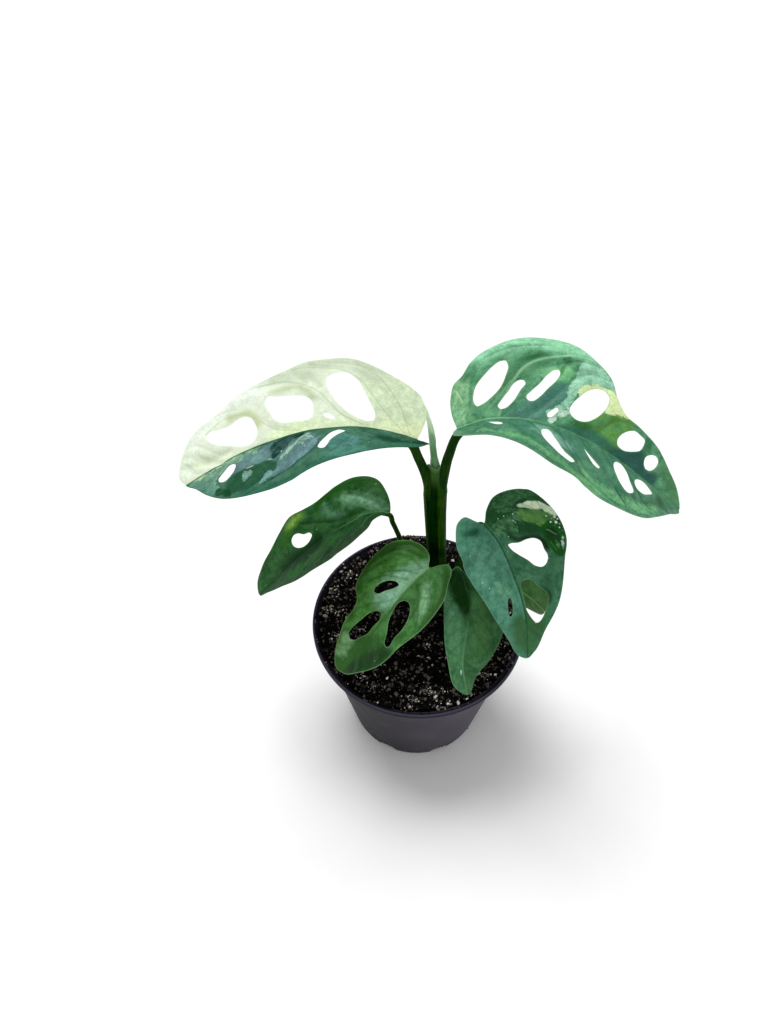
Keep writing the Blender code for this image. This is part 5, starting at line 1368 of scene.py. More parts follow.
def make_leaf(name, seed):
    patches, lines = PATCHES.get(name, []), LINES.get(name, [])
    looks = {**USUAL_LOOKS, **LOOKS[name], "patches": patches, "lines": lines}
    blade = Blade({**USUAL_LEAF, **LEAVES[name]}, looks["lean"])
    flat, faces = flat_blade(blade)
    edge, lane, gap = blade.border_gap(flat), blade.lane(flat), blade.lane_gap(flat)
    relief = blade_relief(flat, lane, gap, edge, seed, looks["quilt"])
    fields = {"lane": lane, "gap": gap, "edge": edge}
    for k, patch in enumerate(patches):
        loop = smooth_points(patch[-1], COURSE_STEP, closed=True)
        depth = distance_to(flat, loop) * np.where(inside(flat, loop), 1.0, -1.0)
        fields[f"patch_{k}"] = np.clip(depth, -PATCH_LIMIT, PATCH_LIMIT)
    for k, (_, _, width, sunk, course) in enumerate(lines):
        away, past = distance_from_line(flat, smooth_points(course, COURSE_STEP))
        within = np.clip(edge / LINE_FROM_EDGE, 0.2, 1.0) * np.clip(1.0 - past / LINE_FADE, 0.0, 1.0)
        relief = relief - sunk * hump(away, LINE_SPREAD * width) * within
        fields[f"line_{k}"] = np.clip(away, -LINE_LIMIT, LINE_LIMIT)
        fields[f"past_{k}"] = np.clip(past, PAST_LEAST, LINE_LIMIT)
    paints = [leaf_paint(name + "_top", looks, True), leaf_paint(name + "_under", looks, False)]
    points, skins, slots = blade_skins(blade, flat, faces, edge, relief)
    piece = make_piece(name + "_blade", points, skins, paints, slots)
    store_places(piece, "flat", np.tile(np.hstack([flat, np.zeros((len(flat), 1))]), (2, 1)))
    store(piece, **{key: np.tile(values, 2) for key, values in fields.items()})
    piece.data.set_sharp_from_angle(angle=math.radians(LEAF_SHARP_ANGLE))
    stand_for(piece, name)
    return blade


def make_drops(blades, paint):
    """Drops of water on the leaves, each a flattened lump on its own spot."""
    lump, lump_faces = base_lump(2)
    points, faces, tones = [], [], []
    for name, drops in DROPS.items():
        for k, (u, v, size) in enumerate(drops):
            corner = np.array([(u, v), (u + NUDGE, v), (u, v + NUDGE)], float)
            spot, along, across = blades[name].place(corner)
            side = unit(along - spot)
            up = unit(np.cross(side, across - spot))
            up = up if up[2] > 0.0 else -up
            turn = np.stack([side, np.cross(up, side), up])
            wide = lump * [size, size * (0.8 + 0.1 * (k % 3)), DROP_FLATNESS * size]
            faces += (lump_faces + len(points) * len(lump)).tolist()
            points.append(wide @ turn + spot + DROP_LIFT * up)
            tones += [(k % 5) / 4.0] * len(lump)
    piece = make_piece("water_drops", np.vstack(points), faces, [paint])
    store(piece, tone=tones)
    stand_for(piece, "leaf_front_right")


def drop_paint():
    paint = Paint("water")
    speckle = paint.noise(paint.place(), 1800.0, 2.0)
    tone = paint.rise(paint.plus(paint.field("tone"), paint.swing(speckle, 1.2)), 0.1, 0.7)
    # The drops are clear water: the green is the leaf painted as seen through them, and the near-white
    # is painted highlight
    colour = paint.blend((70, 120, 80), (232, 244, 238), tone)
    paint.surface(colour, paint.spread(speckle, 0.03, 0.12), 0.9)
    return paint.material


class LeafPaint(Paint):
    """The paint of one side of a leaf, on which colours are laid one over the other."""

    def __init__(self, name, looks):
        super().__init__(name)
        self.looks = looks
        self.flat = self.field("flat", "Vector")
        self.u, v, _ = self.parts(self.flat)
        self.lane, self.gap, self.edge = (self.field(key) for key in ("lane", "gap", "edge"))
        self.from_rib = self.math("ABSOLUTE", v)
        self.right = self.rise(v, -0.15, 0.15)
        self.left = self.math("SUBTRACT", 1.0, self.right)
        kinds = (CLOUD, MOTTLE, GRAIN)
        self.cloud, self.mottle, self.grain = (self.noise(self.flat, *kind) for kind in kinds)
        by_vein = self.vector(self.times(self.lane, 4.5), self.times(self.from_rib, 0.2), self.right)
        self.streak = self.noise(by_vein, *STREAK)
        tone = self.total((self.cloud, 0.42), (self.mottle, 0.3), (self.streak, 0.08), (self.grain, 0.2))
        self.tone = self.rise(tone, 0.38, 0.63)
        self.net = self.fall(self.cells(self.flat, 0.55, "DISTANCE_TO_EDGE"), 0.02, 0.12)
        self.colour = None

    def lay(self, shade, cover):
        """Lays a colour over what is there."""
        self.colour = self.blend(self.colour, shade, cover)

    def halves(self, key):
        """The first colour of a pair of the looks on the left half, and the second on the right."""
        return self.blend(*self.looks[key], self.right)

    def lay_patch(self, k, shade, softness, ragged, streaky, outline):
        """A patch whose edge is torn, and which is broken up, by the noises."""
        torn = self.plus(self.swing(self.mottle, 1.0), self.swing(self.streak, 0.6))
        torn = self.plus(torn, self.swing(self.grain, 0.4))
        depth = self.plus(self.field(f"patch_{k}"), self.times(torn, 4.5 * ragged))
        cover = self.rise(depth, -softness / 2, softness / 2)
        if streaky:
            breaks = self.rise(self.total((self.streak, 0.6), (self.mottle, 0.4)), 0.44, 0.56)
            cover = self.times(cover, self.spread(breaks, 1.0 - streaky, 1.0))
        middle = sum(v for _, v in outline) / len(outline)
        if abs(middle) > PATCH_ACROSS:
            cover = self.times(cover, self.right if middle > 0.0 else self.left)
        varied = self.total((self.cloud, 0.3), (self.mottle, 0.4), (self.grain, 0.3))
        lift = min(1.06, 252.0 / max(shade))
        deep, bright = (tuple(value * share for value in shade) for share in (0.92, lift))
        self.lay(self.blend(deep, bright, self.rise(varied, 0.4, 0.6)), cover)

    def lay_veins(self, net_strength):
        """The main side veins and the net of fine ones between them."""
        to_vein = self.math("FRACT", self.plus(self.lane, 0.5))
        to_vein = self.times(self.math("ABSOLUTE", self.plus(to_vein, -0.5)), self.gap)
        shades = self.halves("vein")
        cover = self.times(self.fall(to_vein, 0.1, 0.9), self.spread(self.mottle, 0.2, 0.8))
        self.lay(shades, self.times(cover, self.looks["veined"]))
        self.lay(shades, self.times(self.net, net_strength))

    def lay_line(self, k, shade, strength, width):
        """A drawn line, which ends softly."""
        away = self.math("ABSOLUTE", self.field(f"line_{k}"))
        cover = self.fall(away, 0.2 * width, width)
        cover = self.times(cover, self.spread(self.grain, 0.5 * strength, strength))
        self.lay(shade, self.times(cover, self.fall(self.field(f"past_{k}"), -0.6, 0.3)))

    def lay_rib(self, paler):
        """The midrib, from its colour at the base to that at the tip."""
        rib = self.blend(*self.looks["midrib"], self.rise(self.u, 4.0, 46.0))
        if paler:
            rib = self.blend(rib, (140, 170, 110), 0.6)
        width = self.looks["rib"]
        self.lay(rib, self.times(self.fall(self.from_rib, 0.25 * width, width), 0.75))

    def lay_flecks(self):
        """Small pale flecks, in drifts."""
        spots = self.fall(self.cells(self.flat, 0.42), 0.04, 0.17)
        drifts = self.rise(self.noise(self.flat, 0.23, 2.0), 0.56, 0.62)
        self.lay((188, 214, 200), self.times(self.times(spots, drifts), self.looks["specks"]))


def leaf_paint(name, looks, is_top):
    """Top or underside of a leaf: mottled halves, torn patches, veins, lines, flecks and gloss."""
    paint = LeafPaint(name, looks)
    if is_top:
        left, right = (paint.blend(*looks[half], paint.tone) for half in ("left", "right"))
        paint.colour = paint.blend(left, right, paint.right)
        for k, patch in enumerate(looks["patches"]):
            paint.lay_patch(k, *patch)
    else:
        paint.colour = paint.halves("under")
        paint.lay((70, 110, 60), paint.times(paint.tone, 0.25))
    paint.lay_veins(0.16 if is_top else 0.3)
    if is_top:
        for k, (shade, strength, width, _, _) in enumerate(looks["lines"]):
            paint.lay_line(k, shade, strength, width)
    paint.lay_rib(not is_top)
    paint.lay(paint.halves("rim"), paint.times(paint.fall(paint.edge, 0.0, 0.5), 0.45))
    if is_top:
        paint.lay_flecks()
    dull = 0.0 if is_top else 0.18
    roughness = paint.spread(paint.noise(paint.flat, 0.3, 3.0), 0.34 + dull, 0.56 + dull)
    paint.surface(paint.colour, roughness, looks["gloss"])
    pits, pores = paint.cells(paint.flat, 2.6), paint.noise(paint.flat, 0.9, 4.0)
    paint.bump(paint.total((pits, 0.4), (pores, 1.6), (paint.net, -0.3)), 0.00016, 0.6)
    return paint.material


def circle(sides):
    """Angles evenly round a full turn."""
    return np.arange(sides) * math.tau / sides


def polar(angles, away, high):
    """Points at angles round the pot's axis, at these distances from it and heights."""
    return np.stack([away * np.cos(angles), away * np.sin(angles), np.full(len(angles), high)], axis=1)


def closed_rings(rings, first, last):
    """Joins rings of points into a closed skin, with a fan at each end."""
    sides = len(rings[0])
    points = np.vstack([*rings, first, last])
    bottom, top = len(points) - 2, len(points) - 1
    base = (len(rings) - 1) * sides
    faces = []
    for low in range(0, base, sides):
        for k in range(sides):
            n = (k + 1) % sides
            faces.append((low + k, low + n, low + sides + n, low + sides + k))
    for k in range(sides):
        n = (k + 1) % sides
        faces.append((bottom, n, k))
        faces.append((top, base + k, base + n))
    return points, faces


def swept(line, sides, radius_at):
    """Points and faces of a closed tube along a line, its radius given by angle and share."""
    front_way = np.array([0.0, -1.0, 0.0])
    along = unit(np.gradient(line, axis=0))
    front = unit(front_way - along * (along @ front_way)[:, None])
    side = np.cross(along, front)
    angles = circle(sides)
    rings = []
    for k, spot in enumerate(line):
        radius = radius_at(angles, k / (len(line) - 1))
        out, ahead = (radius * turn(angles) for turn in (np.cos, np.sin))
        rings.append(spot + side[k] * out[:, None] + front[k] * ahead[:, None])
    return closed_rings(rings, line[0], line[-1])


def turned(profile, sides):
    """Points and faces of a closed turned shape; its profile starts and ends on the axis."""
    rings = [polar(circle(sides), r, z) for r, z in profile[1:-1]]
    return closed_rings(rings, (0.0, 0.0, profile[0][1]), (0.0, 0.0, profile[-1][1]))


def petiole_line(blade, petiole):
    """The course of a petiole, which ends along the underside of its leaf's midrib."""
    ends = []
    for further, share in PETIOLE_ENDS:
        point, _, _, normal = blade.frame(petiole["seat"] + further)
        below = PETIOLE_HUG * share * petiole["radii"][1] + PETIOLE_BELOW
        ends.append(point[0] - normal[0] * below)
    return smooth_points(petiole["path"] + ends, PETIOLE_STEP), ends[0]


def make_petiole(name, blade, petiole, node, paint):
    """A stalk with a knuckle below its leaf, a channel, and a wider foot where it stands in soil."""
    line, seat = petiole_line(blade, petiole)
    start, end = petiole["radii"]
    seat_share = np.argmin(np.linalg.norm(line - seat, axis=1)) / (len(line) - 1)
    shares = [0.0, seat_share] + list(np.linspace(seat_share, 1.0, len(PETIOLE_ENDS))[1:])
    radii = [start, end] + [end * share for _, share in PETIOLE_ENDS[1:]]
    widening = 0.0 if node == "stem" else FOOT_WIDENING

    def radius_at(angles, share):
        radius = np.interp(share, shares, radii)
        knuckle = 1.0 + KNUCKLE * hump(share - seat_share + KNUCKLE_BEFORE, KNUCKLE_LENGTH)
        foot = 1.0 + widening * max(0.0, 1.0 - share / FOOT_LENGTH) ** 2
        channel = 1.0 - CHANNEL_DEPTH * hump(angles - CHANNEL_ANGLE, CHANNEL_WIDTH)
        return radius * knuckle * foot * channel

    points, faces = swept(line, PETIOLE_SIDES, radius_at)
    stand_for(make_piece(name, points, faces, [paint]), node)


def stem_section(z):
    """Middle x, middle y, half width and half depth of the stem at heights z."""
    rows = np.array(STEM_SECTIONS)
    return [np.interp(z, rows[:, 0], rows[:, k]) for k in range(1, 5)]


def stem_groove(out, angles, tall):
    """How deep the groove down the front is, at places across the stem."""
    start, end = (1.0 / (1.0 + np.exp(-(out - place) / soft)) for place, soft in GROOVE_SIDES)
    depth = GROOVE_DEPTH * (start - end) * (np.sin(angles) < 0)
    return depth * ramp(tall, GROOVE_ENDS[0], GROOVE_FADE) * ramp(-tall, -GROOVE_ENDS[1], GROOVE_FADE)


def make_stem(paint):
    """The stem: a groove runs down its front, and its top is a sheath, cut aslant round the spear."""
    low = STEM_SECTIONS[0][0]
    levels = [(z, 0.0) for z in np.arange(low, SHEATH_FROM, 1.0)]
    levels += [(SHEATH_FROM, share) for share in np.linspace(0.0, 1.0, SHEATH_RINGS)]
    angles = circle(STEM_SIDES)
    rims = np.interp(np.degrees(angles), *zip(*SHEATH_RIM))
    rings, across, shares = [], [], []
    for z, share in levels:
        tall = z + (rims - z) * share
        x, y, wide, deep = stem_section(tall)
        out = wide * np.cos(angles)
        knots = sum(size * np.sin(tall / length + phase) for size, length, phase in STEM_KNOTS)
        spread = (1.0 + knots) * (1.0 - SHEATH_CLOSING * share**6)
        back = deep * np.sin(angles) * spread + stem_groove(out, angles, tall)
        rings.append(np.stack([x + out * spread, y + back, tall], axis=1))
        across.append(np.where(np.sin(angles) < BACK_FROM, np.cos(angles), BACK_ACROSS))
        shares.append(np.full(STEM_SIDES, share))
    rim_ring = rings[-1]
    middle = rim_ring.mean(axis=0)
    for shrink, drop in SHEATH_MOUTH:
        rings.append(middle + (rim_ring - middle) * shrink - [0.0, 0.0, drop])
        across.append(across[-1])
        shares.append(np.zeros(STEM_SIDES))
    foot = (*(float(value) for value in stem_section(low)[:2]), low)
    points, faces = closed_rings(rings, foot, middle - [0.0, 0.0, SHEATH_BOTTOM])
    piece = make_piece("stem_rod", points, faces, [paint])
    ends = [0.0, 0.0]
    store(piece, across=np.concatenate([*across, ends]), rim=np.concatenate([*shares, ends]))
    stand_for(piece, "stem")


def roll_turn(angles, share):
    """How far round from its free edge the new leaf is rolled, from 0 to 1."""
    return (angles / math.tau - ROLL_TURNS * share - ROLL_START) % 1.0


def make_new_leaf(paint):
    """The rolled new leaf, whose free edge winds round it."""
    line = smooth_points(SPEAR_PATH, SPEAR_STEP)

    def radius_at(angles, share):
        radius = np.interp(share, SPEAR_SHARES, SPEAR_RADII)
        return radius * (ROLL_THINNEST + ROLL_STEP * roll_turn(angles, share))

    points, faces = swept(line, SPEAR_SIDES, radius_at)
    piece = make_piece("new_leaf_roll", points, faces, [paint])
    share = np.repeat(np.linspace(0.0, 1.0, len(line)), SPEAR_SIDES)
    turn = roll_turn(np.tile(circle(SPEAR_SIDES), len(line)), share)
    store(piece, share=np.concatenate([share, [0.0, 1.0]]), turn=np.concatenate([turn, [0.5, 0.5]]))
    stand_for(piece, "new_leaf")


def wall_radius(z):
    """Outer radius of the pot below its lip at height z."""
    top = POT_RIM_RADIUS - POT_LIP_OVERHANG
    slope = (top - POT_STEP - POT_BASE_RADIUS) / (POT_HEIGHT - POT_LIP_HEIGHT)
    return POT_BASE_RADIUS + slope * z + (POT_STEP if z > POT_HEIGHT - POT_STEP_BELOW_RIM else 0.0)


def pot_profile():
    """Radius and height round the pot's wall: up its outside, over its lip and down its inside."""
    step = POT_HEIGHT - POT_STEP_BELOW_RIM
    lip = POT_HEIGHT - POT_LIP_HEIGHT
    rim, base = POT_RIM_RADIUS, POT_BASE_RADIUS
    outer = [(base - 1.2, 0.0), (base - 0.5, 0.15), (wall_radius(0.7), 0.7)]
    outer += [(wall_radius(z), z) for z in np.linspace(3.0, step - 1.2, 24)]
    outer += [(wall_radius(step - 0.8) + 0.15, step - 0.8), (wall_radius(step + 0.1) - 0.35, step - 0.3)]
    outer += [(wall_radius(z), z) for z in np.linspace(step + 0.2, lip - 0.1, 5)]
    outer += [(rim - 1.2, lip), (rim - 0.35, lip + 0.12), (rim, lip + 0.5)]
    outer += [(rim, POT_HEIGHT - 0.6), (rim - 0.15, POT_HEIGHT - 0.2), (rim - 0.5, POT_HEIGHT)]
    inner = [(rim - 0.9, POT_HEIGHT), (rim - 1.15, POT_HEIGHT - 0.25)]
    inner += [(rim - POT_LIP_OVERHANG + 0.6, POT_HEIGHT - 1.4)]
    heights = [*np.linspace(lip - 0.6, step + 0.2, 4), *np.linspace(step - 1.0, POT_FLOOR + 0.8, 8)]
    inner += [(wall_radius(z) - POT_WALL, z) for z in heights]
    inner += [(wall_radius(POT_FLOOR) - POT_WALL - 0.8, POT_FLOOR)]
    return [(0.0, 0.0)] + outer + inner + [(0.0, POT_FLOOR)]


def notch_cutters():
    """Arched blocks, one for each drain notch in the edge of the base."""
    points, faces = [], []
    count = len(DRAIN_ARCH)
    for k in range(DRAIN_COUNT):
        angle = math.tau * (k + 0.5) / DRAIN_COUNT
        out = np.array([math.cos(angle), math.sin(angle), 0.0])
        side = np.array([-math.sin(angle), math.cos(angle), 0.0])
        first = len(points)
        for reach in (POT_BASE_RADIUS - DRAIN_DEPTH, POT_BASE_RADIUS + DRAIN_DEPTH):
            for across, up in DRAIN_ARCH:
                spot = out * reach + side * across * DRAIN_WIDTH
                points.append(spot + [0.0, 0.0, up * DRAIN_HEIGHT])
        near = [first + i for i in range(count)]
        far = [first + count + i for i in range(count)]
        faces += [near[::-1], far]
        for i in range(count):
            n = (i + 1) % count
            faces.append([near[i], near[n], far[n], far[i]])
    return link("notch_cutters", new_mesh("notch_cutters", points, faces))


def cut(piece, cutters):
    """Cuts one mesh out of another, and throws the cutter away."""
    change = piece.modifiers.new("notches", "BOOLEAN")
    change.operation = "DIFFERENCE"
    change.object = cutters
    change.solver = "EXACT"
    bpy.context.view_layer.update()
    view = bpy.context.evaluated_depsgraph_get()
    old, piece.data = piece.data, bpy.data.meshes.new_from_object(piece.evaluated_get(view))
    piece.modifiers.clear()
    bpy.data.meshes.remove(old)
    bpy.data.objects.remove(cutters, do_unlink=True)


def make_pot(paint):
    points, faces = turned(pot_profile(), POT_SIDES)
    piece = make_piece("pot_shell", points, faces, [paint])
    cut(piece, notch_cutters())
    piece.data.name = "pot_shell"
    piece.data.shade_smooth()
    piece.data.set_sharp_from_angle(angle=math.radians(POT_SHARP_ANGLE))
    stand_for(piece, "pot")


def soil_waves():
    """The same slow unevenness as the CAD soil has."""
    dice = random.Random(SOIL_SEED)
    return [
        (size, dice.uniform(-1, 1) * pitch, dice.uniform(-1, 1) * pitch, dice.uniform(0, math.tau))
        for size, pitch in SOIL_WAVES
    ]


def soil_height(x, y, waves):
    """Height of the soil at places, with its heap at the back and its seeded unevenness."""
    heap = SOIL_HEAP_HEIGHT * hump(x - SOIL_HEAP_PLACE[0], SOIL_HEAP_SPREAD[0])
    heap = heap * hump(y - SOIL_HEAP_PLACE[1], SOIL_HEAP_SPREAD[1])
    from_stem = np.hypot(x - STEM_FOOT[0], y - STEM_FOOT[1])
    foot = SOIL_FOOT_HEIGHT * hump(from_stem, SOIL_FOOT_SPREAD)
    rough = sum(size * np.sin(ax * x + ay * y + phase) for size, ax, ay, phase in waves)
    bank = SOIL_BANK * ramp(np.hypot(x, y), SOIL_BANK_FROM, SOIL_BANK_WIDTH)
    return SOIL_LEVEL + np.maximum(heap, bank) + foot + rough


def make_soil(waves, paint):
    """The bed of the soil: its uneven top, and its side against the wall of the pot."""
    step = POT_HEIGHT - POT_STEP_BELOW_RIM
    clear = POT_WALL + SOIL_GAP
    edge = wall_radius(SOIL_LEVEL - SOIL_DIP) - POT_WALL - SOIL_GAP
    count = int(edge / SOIL_GRID)
    profile = [(0.0, SOIL_LEVEL)] + [(edge * (k + 0.5) / count, SOIL_LEVEL) for k in range(count)]
    profile += [(edge, SOIL_LEVEL - 1.5)]
    profile += [(wall_radius(z) - clear, z) for z in (step + 0.1, step - 1.0)]
    profile += [(wall_radius(POT_FLOOR) - clear, POT_FLOOR + SOIL_GAP), (0.0, POT_FLOOR + SOIL_GAP)]
    points, faces = turned(profile, SOIL_SIDES)
    top = list(range(count * SOIL_SIDES)) + [len(points) - 2]
    x, y = points[top, 0], points[top, 1]
    places = [Vector((a / SOIL_LUMP, b / SOIL_LUMP, 3.0)) for a, b in zip(x, y)]
    rough = np.array([noise.fractal(place, *SOIL_FRACTAL) for place in places])
    points[top, 2] = soil_height(x, y, waves) - SOIL_BED_DROP + rough
    piece = make_piece("soil_bed", points, [face[::-1] for face in faces], [paint])
    stand_for(piece, "soil")


def base_lump(subdivisions):
    """Points and faces of a small ball."""
    shape = bmesh.new()
    bmesh.ops.create_icosphere(shape, subdivisions=subdivisions, radius=1.0)
    points = np.array([tuple(v.co) for v in shape.verts])
    faces = np.array([[v.index for v in f.verts] for f in shape.faces])
    shape.free()
    return points, faces


def turns(dice, count):
    """Random rotations, one per crumb."""
    w, x, y, z = unit(dice.normal(size=(count, 4))).T
    return np.stack([
        np.stack([1 - 2 * (y * y + z * z), 2 * (x * y - w * z), 2 * (x * z + w * y)], axis=-1),
        np.stack([2 * (x * y + w * z), 1 - 2 * (x * x + z * z), 2 * (y * z - w * x)], axis=-1),
        np.stack([2 * (x * z - w * y), 2 * (y * z + w * x), 1 - 2 * (x * x + y * y)], axis=-1),
    ], axis=1)


def crumb_shapes(dice, spots, sizes, shape, detail, jitter):
    """Points, faces and tones of many lumps, each turned, stretched and dented in its own way."""
    base, triangles = base_lump(detail)
    count = len(spots)
    dents = 1.0 + jitter * dice.uniform(-1.0, 1.0, (count, len(base), 1))
    stretch = np.array(shape) * dice.uniform(*CRUMB_STRETCH, (count, 3))
    lumps = base[None] * dents * stretch[:, None] * sizes[:, None, None]
    lumps = np.einsum("nij,nkj->nki", turns(dice, count), lumps) + spots[:, None]
    faces = (triangles[None] + (np.arange(count) * len(base))[:, None, None]).reshape(-1, 3)
    tones = np.repeat(dice.random(count), len(base))
    return lumps.reshape(-1, 3), faces, tones


def stem_feet():
    """Place and radius of the stem and of each petiole where they enter the soil."""
    feet = [(*STEM_FOOT, STEM_SECTIONS[1][3])]
    return feet + [(*petiole["path"][0][:2], petiole["radii"][0]) for petiole in PETIOLES.values()]


def scatter(dice, count, largest, waves):
    """Seeded places on the soil, clear of the stems."""
    edge = wall_radius(SOIL_LEVEL) - POT_WALL + CRUMB_OVERLAP
    clear = CRUMB_CLEAR * largest
    away = (edge - clear) * np.sqrt(dice.random(count))
    angle = dice.uniform(0.0, math.tau, count)
    x, y = away * np.cos(angle), away * np.sin(angle)
    joins = dice.random(count) < CRUMBS_IN_CLUSTERS
    mate = dice.integers(0, max(1, count // CRUMBS_PER_CLUSTER), count)
    x = np.where(joins, x[mate] + dice.normal(0.0, CLUSTER_SPREAD, count), x)
    y = np.where(joins, y[mate] + dice.normal(0.0, CLUSTER_SPREAD, count), y)
    keep = np.hypot(x, y) < edge - clear
    if count < BASE_CRUMBS:
        drifts = noise_at(zip(x, y), (DRIFT_SIZE, DRIFT_SIZE), SOIL_SEED)
        drifts = drifts + DRIFT_TO_WALL * (np.hypot(x, y) / edge) ** 2
        keep &= drifts > dice.uniform(*DRIFT_RANGE, count)
    for foot_x, foot_y, radius in stem_feet():
        keep &= np.hypot(x - foot_x, y - foot_y) > radius + clear
    x, y = x[keep], y[keep]
    uneven = CRUMB_UNEVEN * dice.uniform(-1.0, 1.0, len(x))
    return np.stack([x, y, soil_height(x, y, waves) - CRUMB_SUNK + uneven], axis=1)


def spilled(dice, count):
    """Places of crumbs heaped over the rim at the back, and of a few on the rim and at its foot."""
    middle_x, middle_y = SPILL_MIDDLE
    x = dice.normal(middle_x, SPILL_SPREAD, count)
    y = dice.uniform(*SPILL_BAND, count)
    pile = SPILL_HEIGHT * hump(x - middle_x, SPILL_PILE[0])
    pile = pile * (1.0 - (np.abs(y - middle_y) / SPILL_PILE[1]) ** 2)
    at_back = np.stack([x, y, POT_HEIGHT - CRUMB_SUNK + pile * dice.random(count)], axis=1)
    at_back = at_back[np.hypot(x, y) < SPILL_REACH]
    angle = dice.uniform(0.0, math.tau, count // RIM_CRUMBS_DIVIDE)
    on_rim = polar(angle, RIM_CRUMBS_RADIUS, POT_HEIGHT + RIM_CRUMBS_LIFT)
    angle = dice.uniform(0.0, math.tau, count // FOOT_CRUMBS_DIVIDE)
    away = POT_BASE_RADIUS + dice.uniform(*FOOT_CRUMBS_OUT, len(angle))
    at_foot = polar(angle, away, dice.uniform(*FOOT_CRUMBS_HEIGHT, len(angle)))
    from_notch = np.abs((angle * DRAIN_COUNT / math.tau) % 1.0 - 0.5)
    return np.vstack([at_back, on_rim, at_foot[from_notch < FOOT_CRUMBS_NEAR_NOTCH]])


def clumped(dice, share, waves):
    """Places of bits heaped in clumps on the soil; share is how many of a clump's bits there are."""
    spots = []
    for x, y, radius, count in CLUMPS:
        x, y = dice.normal([x, y], CLUMP_SPREAD * radius, (round(share * count), 2)).T
        rise = CLUMP_HEIGHT * dice.random(len(x))
        spots.append(np.stack([x, y, soil_height(x, y, waves) + rise], axis=1))
    spots = np.vstack(spots)
    return spots[np.hypot(spots[:, 0], spots[:, 1]) < CLUMP_REACH]


def make_crumbs(waves):
    dice = np.random.default_rng(SOIL_SEED)
    for name, count, (small, large), shape, detail, jitter, colours, roughness in CRUMBS:
        spots = scatter(dice, count, large, waves)
        sizes = small + (large - small) * dice.random(len(spots)) ** CRUMB_SIZE_POWER
        extra = spilled(dice, SPILLED.get(name, 0))
        if name in CLUMP_SHARES:
            extra = np.vstack([extra, clumped(dice, CLUMP_SHARES[name], waves)])
        extra_sizes = small + SPILL_SIZE * (large - small) * dice.random(len(extra))
        at_foot = extra[:, 2] < FOOT_CRUMBS_BELOW
        extra_sizes = np.where(at_foot, np.minimum(extra_sizes, FOOT_CRUMBS_LARGEST), extra_sizes)
        spots, sizes = np.vstack([spots, extra]), np.concatenate([sizes, extra_sizes])
        points, faces, tones = crumb_shapes(dice, spots, sizes, shape, detail, jitter)
        piece = make_piece(name, points, faces.tolist(), [crumb_paint(name, colours, roughness)])
        if detail == 1:
            piece.data.shade_flat()
        store(piece, tone=tones)
        stand_for(piece, "soil")


def crumb_paint(name, colours, roughness):
    """Each crumb has its own tone between the given colours, with fine mottling over it."""
    paint = Paint(name)
    speckle = paint.noise(paint.place(), 900.0)
    tone = paint.plus(paint.field("tone"), paint.swing(speckle, 0.5))
    covers = paint.rise(tone, 0.1, 0.55), paint.rise(tone, 0.6, 0.95)
    colour = paint.layers(colours[0], *zip(colours[1:], covers))
    paint.surface(colour, paint.spread(speckle, roughness - 0.15, roughness + 0.1), 0.1)
    paint.bump(speckle, 0.0003, 0.6)
    return paint.material


def soil_paint():
    """Dark peat with paler fibres."""
    paint = Paint("soil_peat")
    place = paint.place()
    coarse, fine = paint.noise(place, 260.0, 4.0), paint.noise(place, 1500.0)
    specks = ((70, 62, 58), paint.rise(fine, 0.68, 0.8))
    colour = paint.layers((5, 4, 6), ((18, 15, 17), paint.rise(coarse, 0.4, 0.7)), specks)
    paint.surface(colour, paint.spread(coarse, 0.75, 1.0), 0.08)
    paint.bump(paint.plus(coarse, paint.times(fine, 0.5)), 0.0008, 0.8)
    return paint.material


def pot_paint():
    """Dark plastic, shade painted on its left and light on its right, fine upright scuffs, soil dust
    towards its base.
    """
    paint = Paint("pot_plastic")
    place = paint.place()
    x, _, z = paint.parts(place)
    cloud = paint.rise(paint.noise(place, 45.0, 4.0), 0.3, 0.75)
    grain = paint.noise(place, 1400.0, 2.0)
    scuffs = paint.fibres(place, 700.0, 30.0)
    # The left side is painted darker as shade and the right side lighter as painted light, blended
    # across x
    shaded = paint.blend((15, 13, 18), (26, 23, 29), cloud)
    painted_lit_side = paint.blend((76, 72, 82), (90, 85, 96), cloud)
    dust = paint.rise(paint.noise(place, 160.0, 5.0, 0.7), 0.52, 0.7)
    # The lip is darker and its upper edge paler, a painted highlight; z is in metres
    colour = paint.layers(
        shaded,
        (painted_lit_side, paint.rise(x, -0.05, 0.045)),
        ((88, 83, 92), paint.times(paint.rise(scuffs, 0.62, 0.78), 0.35)),
        ((42, 40, 46), paint.rise(z, 0.0778, 0.0796)),
        ((74, 72, 88), paint.times(paint.rise(z, 0.0804, 0.0809), 0.8)),
        ((112, 98, 88), paint.times(paint.times(dust, paint.fall(z, 0.0, 0.03)), 0.5)),
    )
    paint.surface(colour, paint.spread(paint.noise(place, 90.0), 0.42, 0.62), 0.09)
    paint.bump(paint.plus(grain, paint.times(scuffs, 0.6)), 0.00012, 0.5)
    return paint.material


